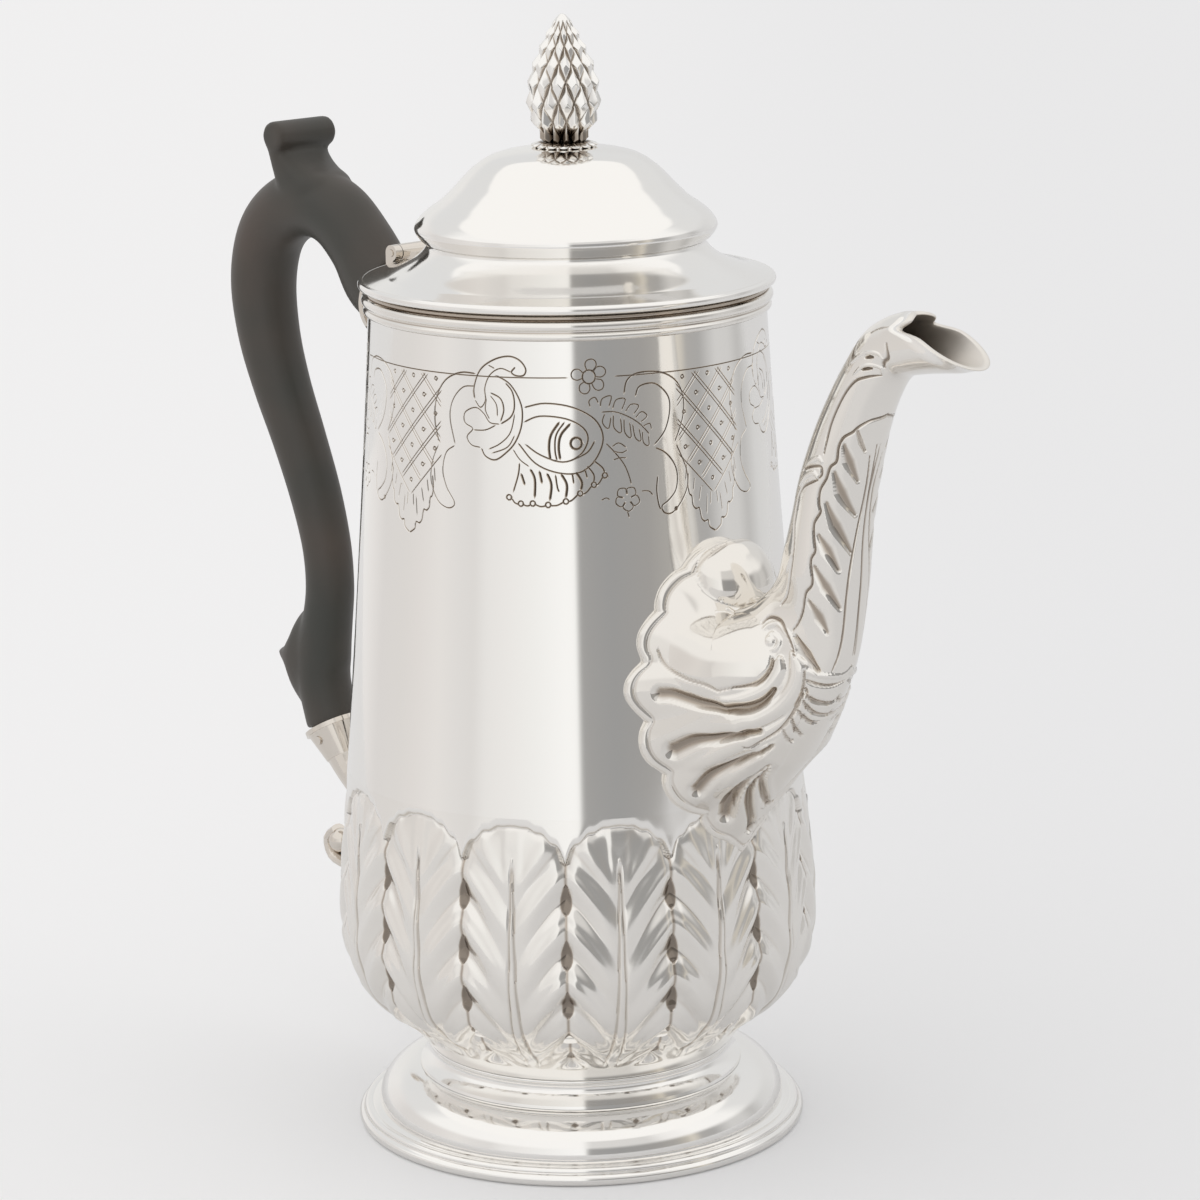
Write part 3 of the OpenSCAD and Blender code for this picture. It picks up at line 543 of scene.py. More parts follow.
def circle_line(weight, at, r, count=10):
    """Circle of radius r mm round a place, as one line: at + r (cos w, sin w)."""
    w = np.linspace(0, 2 * np.pi, count + 1)
    return [weight, np.stack([at[0] + r / MM_PER_DEGREE * np.cos(w), at[1] + r * np.sin(w)], -1)]


def net_lines():
    """Double lines of the netted panel: u + v and u - v are odd numbers on them, with u counted in
    NET_WIDE degrees from the panel's middle and v in NET_HIGH mm down from its top. They stop at the
    panel's V."""
    lines = []
    t = np.linspace(-12, 12, 481)
    for n in range(-9, 12, 2):
        for side_step in (-0.13, 0.13):
            for sign in (1, -1):
                u, v = t, sign * (n + side_step - t)
                keep = (np.abs(u) < NET_HALF) & (v >= -0.30) & (v <= 6.85 - np.abs(u) * 0.98)
                if keep.sum() > 12:
                    ends = np.stack([u[keep], v[keep]], -1)[[0, -1]]
                    lines.append([1, ends * [NET_WIDE, -NET_HIGH] + [PANEL_AT, NET_TOP]])
    return lines


def quarter_lines():
    """All lines of one quarter as [half width in mm, points (degrees, mm)]."""
    lines = [[line[0], curve_through(np.array(line[1:]) / 10, 5 * (len(line) - 2) + 1)] for line in DRAWN]
    lines += [circle_line(2, np.array(at) / 10, BALL_R) for at in FRINGE_BALLS]
    lines += [circle_line(*circle) for circle in CIRCLES]
    lines += net_lines()
    for i in range(-2, 3):
        for j in range(abs(i) % 2, 7 - abs(i) // 2 * 2, 2):
            lines.append(circle_line(2, (PANEL_AT + NET_WIDE * i, NET_TOP - NET_HIGH * j), DOT_R, 8))
    for sign in (-1, 1):
        flip = np.array([sign, 1])
        lines.append([1, np.array(PANEL_FOOT) * flip + [PANEL_AT, 0]])
        lines.append([2, curve_through(LEAF_TIPS, 37) * flip + [PANEL_AT, 0]])
        lines += [[1, curve_through(v, 4) * flip + [PANEL_AT, 0]] for v in LEAF_VEINS]
    top = np.linspace(QUARTER_FROM - 4, QUARTER_FROM + 94, 90)
    for part in (top[top < TOP_LINE_GAP[0]], top[top > TOP_LINE_GAP[1]]):
        lines.append([1, np.stack([part, part * 0 + TOP_LINE], -1)])
    return [[WEIGHTS[weight], line] for weight, line in lines]


quarter = quarter_lines()
print("border:", len(quarter), "lines in a quarter")

# %% [markdown]
# To cut a line, the wall's triangles need an edge along both sides of it and one down its middle.
# Blender's Delaunay triangulation takes such edges as given and fills the rest, first on the unrolled
# wall. Then the flat points are bent round the pot, and those on a line's middle are pushed inwards.

# %% Border: triangles that follow the lines
# the bare wall between the lines is parted into this many levels at the border's two ends
LEVELS = 25


def flat_line(line):
    """Line in mm of the unrolled wall, with points at most 1 mm apart."""
    flat = line * [MM_PER_DEGREE, 1]
    steps = np.maximum(np.ceil(np.linalg.norm(np.diff(flat, axis=0), axis=1)), 1).astype(int)
    parts = [a + (b - a) * np.arange(n)[:, None] / n for a, b, n in zip(flat[:-1], flat[1:], steps)]
    return np.vstack(parts + [flat[-1:]])


def line_mesh(flat, half):
    """Left, middle and right points of a line and the edges along them; both ends come to a point."""
    run = np.gradient(flat, axis=0)
    run /= np.maximum(np.linalg.norm(run, axis=1, keepdims=True), 1e-9)
    out = np.stack([-run[:, 1], run[:, 0]], -1) * half
    points = np.vstack([flat, flat[1:-1] + out[1:-1], flat[1:-1] - out[1:-1]])
    n = len(flat)
    rows = [np.arange(n)] + [np.concatenate([[0], np.arange(n - 2) + k, [n - 1]]) for k in (n, 2 * n - 2)]
    return points, np.vstack([np.stack([row[:-1], row[1:]], -1) for row in rows])


low_x = QUARTER_FROM * MM_PER_DEGREE
high_x = low_x + 90 * MM_PER_DEGREE
lines = []
for half_width, line in quarter:
    for shift in (-90, 0, 90):
        moved = flat_line(line + [shift, 0])
        if len(moved) > 2 and moved[:, 0].max() > low_x - 1 and moved[:, 0].min() < high_x + 1:
            lines.append((half_width, moved))
levels = np.linspace(BAND_LOW, BAND_HIGH, LEVELS)
net_x, net_z = np.meshgrid(np.linspace(low_x, high_x, BAND_STEPS + 1), levels)
points = [np.stack([net_x.ravel(), net_z.ravel()], -1)]
at = np.arange(net_x.size).reshape(net_x.shape)
edges = [np.stack([e[:-1], e[1:]], -1) for e in (at[0], at[-1], at[:, 0], at[:, -1])]
start = len(points[0])
for half_width, line in lines:
    p, e = line_mesh(line, half_width)
    points.append(p)
    edges.append(e + start)
    start += len(p)
points, edges = np.vstack(points), np.vstack(edges)
made = delaunay_2d_cdt([Vector(p) for p in points], edges.tolist(), [], 0, 1e-5)
flat = np.array([tuple(v) for v in made[0]])
cut_faces = np.array([f for f in made[2] if len(f) == 3])
middle = flat[cut_faces].mean(1)
inside = np.all((middle > [low_x, BAND_LOW]) & (middle < [high_x, BAND_HIGH]), axis=1)
used, cut_faces = np.unique(cut_faces[inside], return_inverse=True)
flat, cut_faces = flat[used], cut_faces.reshape(-1, 3)
print("flat border:", len(lines), "lines and", len(cut_faces), "triangles")

# %% [markdown]
# A graver's cut has flat sides, so the triangles of a cut get their own flat normals, and every other
# corner gets the normal of the smooth wall. That keeps the mirror between the lines unbroken.

# %% Border: cut into the wall
def cut_depth(q):
    """Share of a cut's full depth at each point, 1 on a line's middle and 0 from its edge on, and the
    depth in mm: 1.25 half widths on the middle."""
    share, depth = np.zeros(len(q)), np.zeros(len(q))
    for half_width, line in lines:
        low, high = line.min(0) - half_width, line.max(0) + half_width
        near = np.flatnonzero(np.all((q > low) & (q < high), axis=1))
        if len(near) == 0:
            continue
        a, step = line[:-1], np.diff(line, axis=0)
        rel = q[near][:, None, :] - a[None]
        t = np.clip((rel * step).sum(2) / np.maximum((step ** 2).sum(1), 1e-12), 0, 1)
        gap = np.linalg.norm(rel - t[..., None] * step, axis=2)
        k = gap.argmin(1)
        end = k + t[np.arange(len(k)), k]
        gap, end = gap.min(1), np.minimum(end, len(step) - end)
        closed = np.linalg.norm(line[0] - line[-1]) < 1e-6
        part = np.maximum(1 - gap / half_width, 0) * (1 if closed else np.clip(2 * end, 0, 1))
        share[near] = np.maximum(share[near], part)
        depth[near] = np.maximum(depth[near], 1.25 * half_width * part)
    return np.where(share < 0.02, 0, share), np.where(share < 0.02, 0, depth)


share, depth = cut_depth(flat)
middle_share = cut_depth(flat[cut_faces].mean(1))[0]
azimuth, height = np.radians(flat[:, 0] / MM_PER_DEGREE), flat[:, 1]
lean = wall_r(height + 0.5) - wall_r(height - 0.5)
wall_normal = np.stack([np.cos(azimuth), np.sin(azimuth), -lean], -1)
wall_normal /= np.linalg.norm(wall_normal, axis=1, keepdims=True)
r = wall_r(height) - depth
on_wall = np.stack([r * np.cos(azimuth), r * np.sin(azimuth), height], -1)
corner = on_wall[cut_faces]
flat_normal = np.cross(corner[:, 1] - corner[:, 0], corner[:, 2] - corner[:, 0])
flat_normal /= np.maximum(np.linalg.norm(flat_normal, axis=1, keepdims=True), 1e-12)
loop_normal = np.where((middle_share > 0.05)[:, None, None], flat_normal[:, None, :], wall_normal[cut_faces])
for k, (c, q) in enumerate([(1, 0), (0, 1), (-1, 0), (0, -1)]):
    turned_by = np.array([[c, q, 0], [-q, c, 0], [0, 0, 1]])
    name = "engraved_band_%d" % (k + 1)
    mesh = make_mesh(name, on_wall @ turned_by, cut_faces, 180, 0.75 * share)
    mesh.normals_split_custom_set((loop_normal.reshape(-1, 3) @ turned_by).tolist())
    piece(name, mesh, "pot", silver, ["body_shell"])
print("border: 4 x", len(cut_faces), "triangles, deepest", round(float(depth.max()), 2), "mm")

# %% [markdown]
# ## The plain wall and the inside
# Between the leaves and the border the wall is bare and has to be a perfect mirror. Its points stand at
# the same angles as the border's, so the two meet without a step in the reflections. The same sheet turns
# over at the mouth and runs down inside to a plain bottom.

# %% Turned surfaces
def turned_points(outline, w):
    """The point (r, z) of the outline sits at (r cos w, r sin w, z), for every angle w."""
    r, z = outline[:, :1], outline[:, 1:]
    return np.stack([r * np.cos(w), r * np.sin(w), z + 0 * w], -1)


def turned_piece(name, outline, body, node, tarnish_and_shade=0.0, cols=288, closed=True):
    """A silver piece turned from an outline, which is closed on itself unless closed is False."""
    outline = np.asarray(outline, float)
    p = turned_points(outline, np.linspace(0, 2 * np.pi, cols, endpoint=False))
    mesh = make_mesh(name, p.reshape(-1, 3), grid_faces(len(outline), cols, True, closed), 40, tarnish_and_shade)
    piece(name, mesh, body, silver, [node])
    print(name, "has", len(mesh.polygons), "faces")


def plain_wall(name, outline, shade=40, smooth=False):
    """Turned surface whose points stand at the same angles as the border's."""
    p = turned_points(outline, np.radians(QUARTER_FROM + np.arange(4 * BAND_STEPS) * 90 / BAND_STEPS))
    mesh = make_mesh(name, p.reshape(-1, 3), grid_faces(*p.shape[:2]), shade, 0.0,
                     grid_normals(p) if smooth else None)
    piece(name, mesh, "pot", silver, ["body_shell"])


lower_z, upper_z = np.linspace(LEAF_HIGH, BAND_LOW, 60), np.linspace(BAND_HIGH, TOP, 8)
plain_wall("lower_wall", np.stack([wall_r(lower_z), lower_z], -1), 180, True)
inner_z = np.concatenate([np.linspace(TOP, 96, 30), np.linspace(90, 26, 24)])
# behind the leaves the inside keeps 3 mm away, so that no punch mark comes through
inner_r = wall_r(inner_z) - np.where(inner_z > 93, WALL, 3.0)
outer, inner = np.stack([wall_r(upper_z), upper_z], -1), np.stack([inner_r, inner_z], -1)
plain_wall("upper_wall", np.vstack([outer, inner, [[34, 23.6], [20, 23.2], [0.05, 23]]]))
turned_piece("base", [[0.05, BASE + 0.6], [30, BASE + 0.4], [38.3, BASE]], "pot", "body_shell", 0.0,
             LEAF_COLS // 4, False)

# %% [markdown]
# ## Mouth moulding
# A drawn wire with two beads is soldered round the mouth to stiffen it. Its outline is drawn as arcs of
# small circles and turned. The hollows between the beads hold a little tarnish, and the top bead and the
# inside, in the gap under the lid's edge, are made as dark with painted shade.

# %% Mouth moulding
def bead(r, z, radius, start, stop, count=10):
    """Arc of a small circle round (r, z), from angle start to angle stop in degrees, as outline points."""
    w = np.radians(np.linspace(start, stop, count))
    return np.stack([r + radius * np.cos(w), z + radius * np.sin(w)], -1)


rim = np.vstack([[[47.2, 204.4], [48.3, 204.5]], bead(48.7, 205.6, .8, -80, 60, 8), [[49, 206.5]],
                 bead(48.7, 208.1, 1.2, -70, 70, 12), [[48.9, 209.4]], bead(48.2, 209.9, .6, -60, 90, 8),
                 [[47.0, 210.5], [46.8, 205]]])
# darker where nearer the axis than 49.05 mm: tarnish in the hollows between the beads, and painted shade on
# the underside, the top bead and the inside, in the gap under the lid's edge
turned_piece("mouth_moulding", rim, "pot", "rim_moulding", np.repeat(0.34 * (rim[:, 0] < 49.05) + 0.08, 288))

# %% [markdown]
# ## The foot
# Three rings are soldered one on the other: a moulded edge that stands on the table, a low dome and a
# waisted collar under the body. Each is turned from its own outline, hollow from below as the real one.

# %% Foot
edge = np.vstack([[[48.2, 0.0], [53.8, 0]], bead(54.4, 1.6, 1.6, -90, 70, 16), [[54.85, 3.35]],
                  bead(53.6, 3.4, 1.1, -10, 90, 8), [[52.6, 4.4], [52.3, 4.65], [50, 4.75], [48.7, 5.0],
                                                     [47.6, 4.6], [47.6, 1.2]]])
turned_piece("foot_edge", edge, "pot", "foot_rim")
w = np.radians(np.linspace(0, 90, 24))
dome = np.stack([40.6 + 10.2 * np.cos(w), 4.9 + 9.3 * np.sin(w)], -1)
dome_in = np.stack([40.6 + 8.6 * np.cos(w[::-1]), 4.4 + 8.2 * np.sin(w[::-1])], -1)
turned_piece("foot_dome_skin", np.vstack([[[50.8, 4.4]], dome, [[36, 14.2], [36, 12.9]], dome_in]), "pot",
             "foot_dome")
t = np.linspace(0, 1, 14)[:, None]
waist = (1 - t) ** 2 * [[40.2, 15]] + 2 * t * (1 - t) * [[35.6, 17.6]] + t * t * [[37.6, 20]]
turned_piece("foot_collar_skin", np.vstack([[[35.8, 14.25], [40.4, 14.25]], waist,
                                            bead(38.0, 20.45, .5, -70, 90, 8), [[35.8, 20.95]]]),
             "pot", "foot_collar")

# %% [markdown]
# ## The lid
# The lid is spun thin over a wooden form: a flat flange, a cove, a swelling and a dome. The outline's
# inner line is the outer one moved in by about the silver's thickness. A wire stiffens the edge.

# %% Lid
EDGE_Z, INSIDE_TOP, NEAR_AXIS = 212.2, 30.9, 0.05
lid_curve = curve_through([[44.6, 1.7], [39.4, 3.8], [36.2, 5.8], [34.2, 7.9], [33.8, 9.2], [35.2, 10.2],
                           [36.6, 12.6], [35.6, 14.8], [33.6, 16.8], [30.2, 19.2], [27.2, 22], [24.6, 24.8],
                           [21.5, 27.6], [17.4, 30], [11.4, 31.4], [5, 31.9], [NEAR_AXIS, 32]], 110)
inside = lid_curve[::-1] - [1.0, 0.2]
inside = np.stack([np.maximum(inside[:, 0], NEAR_AXIS), np.minimum(inside[:, 1], INSIDE_TOP)], -1)
lid_line = np.vstack([[[49.3, -0.8], [49.3, 0.75]], lid_curve, [[NEAR_AXIS, INSIDE_TOP]], inside[1:],
                      [[44, -0.8]]]) + [0, EDGE_Z]
turned_piece("lid", lid_line, "lid", "lid_dome")
turned_piece("edge_wire", bead(49.6, EDGE_Z - 0.3, 1.05, -130, 130, 20), "lid", "lid_wire")

# %% [markdown]
# ## The finial
# The cone on the lid is cast, and its scales are filed by hand. Filed cones have two sets of spirals that
# cross, so the formula has the same: the distance to the nearest spiral of each set gives the groove, and
# the place between them gives the slope of the scale. The cup of small leaves under it is cut alike.

# %% Scales between crossing spirals
def capped(rings):
    """Points and faces of a stack of rings whose two ends are closed by a fan round their middle."""
    rows, cols = rings.shape[:2]
    points = np.vstack([rings.reshape(-1, 3), rings[0].mean(0), rings[-1].mean(0)])
    j = np.arange(cols)
    first = np.stack([(j + 1) % cols, j, np.full(cols, rows * cols)], -1)
    last = np.stack([(rows - 1) * cols + j, (rows - 1) * cols + (j + 1) % cols,
                     np.full(cols, rows * cols + 1)], -1)
    return points, [grid_faces(rows, cols), np.vstack([first, last])]


def scales(w, climb, around):
    """Height and edge line of diamond scales, both 0 to 1. Two sets of spirals cross, around of them each
    way: their places are around*w/2pi + climb and around*w/2pi - climb. Each scale has a ridge down from its
    top corner and one flat face below it."""
    turn = around * w / (2 * np.pi)
    a = (turn + climb) % 1
    b = 1 - (turn - climb) % 1
    edge = np.minimum(np.minimum(a, 1 - a), np.minimum(b, 1 - b))
    height = np.minimum(np.minimum(1 - a, 1 - b), 0.52 * (a + b)) / 0.52
    return np.minimum(height, 1) * step_up(edge, 0, 0.12), 1 - step_up(edge, 0.0, 0.11)


height, edge = scales(np.zeros(1), 0.5, 12)
print("the middle of a scale stands at", float(height[0]), "of its height")

# %% [markdown]
# The scales get shorter towards the tip, as the cone gets thinner, and the very tip is left plain. Old
# polish stays black at the cone's foot, so the tarnish deepens there.

# %% Finial
CONE_LOW, CONE_TALL, CONE_R, AROUND = 245.25, 30.5, 9.15, 312
CONE_SCALES, CUP_SCALES, SCALE_TALL, PLAIN_FROM = 12, 16, 9.6, 273.4
cone_share = [[.60, 0], [.73, .07], [.86, .14], [.95, .21], [1, .3], [.99, .4], [.95, .49], [.88, .57],
              [.79, .64], [.69, .71], [.57, .78], [.44, .85], [.31, .91], [.18, .96], [.08, .99], [.005, 1]]
cone_line = curve_through(cone_share, 260) * [CONE_R, CONE_TALL] + [0, CONE_LOW]
cup_line = curve_through([[6.0, 243.7], [7.6, 243.9], [8.3, 244.3], [7.9, 244.8], [6.9, 245.1], [5.6, 245.3],
                          [3.0, 245.4]], 60)
w = np.linspace(0, 2 * np.pi, AROUND, endpoint=False)[None, :]


def filed_piece(name, outline, cut, height, dark, ends, node):
    """A turned outline whose radius is r - cut (1 - height), closed at both ends, which are as dark as
    ends says."""
    p = turned_points(outline, w)
    r = outline[:, :1] - cut * (1 - height)
    p[..., 0], p[..., 1] = r * np.cos(w), r * np.sin(w)
    mesh = make_mesh(name, *capped(p), 180, np.append(np.clip(dark, 0, 1).ravel(), ends))
    piece(name, mesh, "lid", silver, [node])
    print(name, "has", len(mesh.polygons), "faces")


r, z = cone_line[:, :1], cone_line[:, 1:]
climb = np.cumsum(np.gradient(z.ravel()) / (SCALE_TALL * (0.30 + 0.70 * r.ravel() / 9)))[:, None] + 0.35
height, edge = scales(w + 0.15, climb, CONE_SCALES)
plain = step_up(z, PLAIN_FROM, PLAIN_FROM + 1)
cut = (0.8 + 0.25 * (1 - step_up(z, 246, 252))) * np.minimum(r / 6, 1) * (1 - plain)
# tarnish in the grooves between the scales, and the cone darker towards its foot
dark = 0.75 * edge * (1 - plain) + (1 - step_up(z, 245.6, 249.8)) * (1 - 0.6 * height)
filed_piece("cone", cone_line, cut * 2.2, height, dark, [1, 0], "finial_cone")
height, edge = scales(w, np.linspace(0, 1.0, 60)[:, None], CUP_SCALES)
dark = 0.7 * edge + step_up(cup_line[:, 1:], 245.0, 245.3)
filed_piece("calyx", cup_line, 0.9, height, dark, [0, 1], "finial_calyx")

# %% [markdown]
# ## The spout
# The real spout is cast in two halves and soldered down the middle. A scalloped shell covers its root,
# and above it the tube rises like a swan's neck to a hooded mouth. One half is made as a grid and
# mirrored. Its rows run from the shell's edge on the body to the mouth, and its columns from the front,
# at -90 degrees, round the side to the back, at 90 degrees.

# %% Spout: the outline of tube and shell
# a station is the front's x and z, the back's x and z, and the half width
stations = [[61, 140.4, 76, 105, 18], [66.6, 142.9, 85.5, 118.5, 11.5], [71.4, 148.8, 92.4, 131.6, 7.6],
            [74.8, 157, 95, 148, 8.6], [78, 166, 96, 161.5, 8.9], [80.4, 174.8, 97.4, 170.4, 8.8],
            [84, 184.4, 99.6, 179.2, 8.2], [87.6, 192, 101.6, 186.4, 7.6], [93, 201.2, 105, 194.4, 7.1],
            [99, 209.4, 109.4, 200.2, 6.8], [105, 213.2, 116, 202.2, 7.1], [111, 215.2, 132, 204.2, 8]]
# edge of the shell on the wall: degrees round the pot and height, from the lowest point to the top
shell_edge = np.array([(0, 78.8), (2.8, 81), (5, 82.8), (9, 84.5), (11.5, 88.2), (11, 91), (13, 91),
                       (16.2, 92), (19.8, 94.8), (21.8, 98.5), (20.8, 101.8), (25.5, 104.5), (27.5, 108),
                       (27.2, 111.8), (24.2, 114.2), (28, 116.8), (30.8, 120.2), (31, 123.5),
                       (28.8, 126.2), (25, 127.4), (25.5, 128.8), (27.2, 132), (26.8, 135.5),
                       (24, 138.5), (20.5, 139.8), (21.8, 141.5), (20.5, 145.5), (16.8, 148.5),
                       (13.2, 149.2), (11.8, 151), (8.5, 153), (3.2, 154), (0, 153.8)])
NOTCHES = [5, 10, 14, 19, 24, 28]
SHELL_ROWS, TUBE_ROWS, HALF_COLS = 205, 395, 150
FAN_MIDDLE = 115
side = np.radians(np.linspace(-90, 90, HALF_COLS + 1))


def spout_ring(s, wall, w):
    """Section of the spout: centre + back axis sin w + y cos w, thinned by the wall."""
    cx, cz = (s[:, 0] + s[:, 2]) / 2, (s[:, 1] + s[:, 3]) / 2
    ax, az = (s[:, 0] - s[:, 2]) / 2, (s[:, 1] - s[:, 3]) / 2
    k = 1 - wall / np.hypot(ax, az)
    c, q = np.cos(w)[None, :], np.sin(w)[None, :]
    return np.stack([cx[:, None] + (ax * k)[:, None] * q, (s[:, 4] - wall)[:, None] * c,
                     cz[:, None] + (az * k)[:, None] * q], -1)


print("the shell has", len(NOTCHES) + 1, "lobes on a half, and the tube", len(stations), "stations")

# %% [markdown]
# The plain form comes first, as the caster's model would: a tube of ovals along a path, and a fan
# that spreads from the tube's root to the scalloped edge on the wall.

# %% Spout: the plain cast form
def shell_half():
    """The shell's half as a bulging fan: every point of its edge, smoothed, runs in a parabola to the neck,
    and the lobes are added as their distance from the smooth edge times (1 - t)^8. The edge is read from
    its list by bearing round the fan's middle, on the unrolled wall."""
    lobes = np.split(np.arange(len(shell_edge)), NOTCHES)
    # every lobe is a smooth curve that ends in the first point of the next one
    lobes = [shell_edge[k[0]:k[-1] + 2] for k in lobes]
    edge = np.vstack([curve_through(lobe, 24) for lobe in lobes])
    z = edge[:, 1]
    y = wall_r(z) * np.radians(edge[:, 0])
    bearing = np.arctan2(z - FAN_MIDDLE, np.maximum(y, 1e-6))
    far = np.interp(side, bearing, np.hypot(y, z - FAN_MIDDLE))
    weights = np.hanning(27)[1:-1]
    even = np.convolve(np.pad(far, 12, "reflect"), weights / weights.sum(), "valid")

    def root(far):
        """Points on the wall, far mm from the fan's middle."""
        z = FAN_MIDDLE + far * np.sin(side)
        az = far * np.cos(side) / wall_r(z)
        # the lowest lobes start inside the wall, because the leaves under them are sunk
        r = wall_r(z) + 0.05 - 1.8 * (1 - step_up(z, 88, 94))
        return np.stack([r * np.cos(az), r * np.sin(az), z], -1)

    start = root(even)
    neck = spout_ring(curve_through(stations, TUBE_ROWS)[:1], 0, side)[0]
    swell = start * [1, 0.7, 0.7] + [5.5, 0, 0] + neck * [0, 0.3, 0.3]
    t = np.linspace(0, 1, SHELL_ROWS, endpoint=False)[:, None, None]
    fan = start * (1 - t) ** 2 + swell * 2 * t * (1 - t) + neck * t * t
    return fan + (root(far) - start) * (1 - t) ** 8


def spout_half():
    """Shell and tube in one grid. At the mouth the edge draws back by two bells of the angle round the
    tube, a notch on each side of the hood."""
    path = curve_through(stations, TUBE_ROWS)
    tube_part = spout_ring(path, 0, side)
    run = np.gradient(tube_part.mean(1), axis=0)
    run /= np.linalg.norm(run, axis=1, keepdims=True)
    back = 3.6 * bell(np.degrees(side) - 33, 13) - 1.2 * bell(np.degrees(side) - 70, 22)
    late = step_up(np.linspace(0, 1, TUBE_ROWS), 0.90, 1.0)[:, None, None]
    tube_part = tube_part - late * back[None, :, None] * run[-12][None, None, :]
    return np.concatenate([shell_half(), tube_part])


plain_half = spout_half()
print("half a spout:", plain_half.shape[0], "rows of", plain_half.shape[1], "points")

# %% [markdown]
# ## The chasing on the spout
# Ribs fan out over the shell, a ball and a boss swell from it, and a long leaf with cut hollows lies on
# the tube. Sculpting them by hand would be quick, but could not be repeated. Here each is a stroke
# through a few places on the plain form, and every point of the grid asks how near the stroke is.

# %% Spout: ribs and swellings
# A place on the spout is (thousandths of the way from the shell's edge to the mouth, degrees round from
# the front). A ridge is (half width, height, places), and a swelling is (length, width, height, power of
# its arch, place).
RIDGES = [
    [1.9, 1.5, [[422, -8], [412, -13], [396, -16], [380, -14], [361, -9], [325, 1], [269, 7], [224, 13]]],
    [2.3, 1.6, [[438, -15], [430, -28], [412, -36], [388, -36], [364, -30], [343, -22], [285, -16],
     [208, -8]]],
    [2.2, 1.3, [[414, -50], [388, -51], [367, -46], [343, -38], [288, -36], [211, -36], [127, -34],
     [63, -30]]],
    [2.2, 1.3, [[391, -55], [361, -56], [335, -53], [259, -56], [161, -60], [82, -61]]],
    [1.7, 1.2, [[375, -58], [348, -58], [280, -62], [214, -68], [158, -76], [98, -85]]],
    [1.2, 1.0, [[372, -62], [348, -64], [288, -68], [224, -78], [150, -89], [113, -90]]],
    [1.2, 0.9, [[367, -67], [346, -69], [290, -75], [235, -88], [208, -90]]],
    [0.9, 1.0, [[433, -25], [446, -7], [446, 13], [430, 23], [414, 22], [412, 10], [422, 2], [433, 4],
     [430, 13], [425, 16]]],
    [0.9, 0.9, [[438, -26], [435, -32], [438, -43], [446, -65], [451, -82], [459, -90]]],
    [0.6, 0.5, [[926, -15], [876, -43], [858, -16], [836, -1], [805, 6], [765, 10], [731, 4], [702, 2]]],
    [0.55, 0.8, [[850, 22], [868, 16], [889, 8], [913, -4], [916, -16]]],
    [0.55, 0.8, [[842, 3], [860, -2], [876, -12], [889, -28], [879, -38]]],
    [0.8, 0.9, [[665, 28], [678, 19], [691, 4], [689, -5]]],
    [0.8, 0.9, [[639, 28], [657, 19], [668, 4], [665, -6]]],
    [1.1, 0.8, [[306, 68], [369, 69], [417, 70], [467, 49], [507, 29], [538, 19]]],
]
SWELLS = [[10.5, 8.5, 5.0, 0.6, [190, 88]], [15.5, 12.5, 4.2, 1.6, [352, 27]],
          [1.7, 1.7, 1.5, 0.5, [422, 11]], [2.4, 2.4, 1.2, 0.5, [55, -90]], [1.4, 1.4, 0.9, 0.5, [201, -88]]]
print(len(RIDGES), "ridges and", len(SWELLS), "swellings on each half")

# %% [markdown]
# Hollows between the ribs and fine cut lines are grooves. A groove is also darkened, partly with tarnish
# and partly with painted shade, which is what makes it read as deep. Its width may change along the stroke.

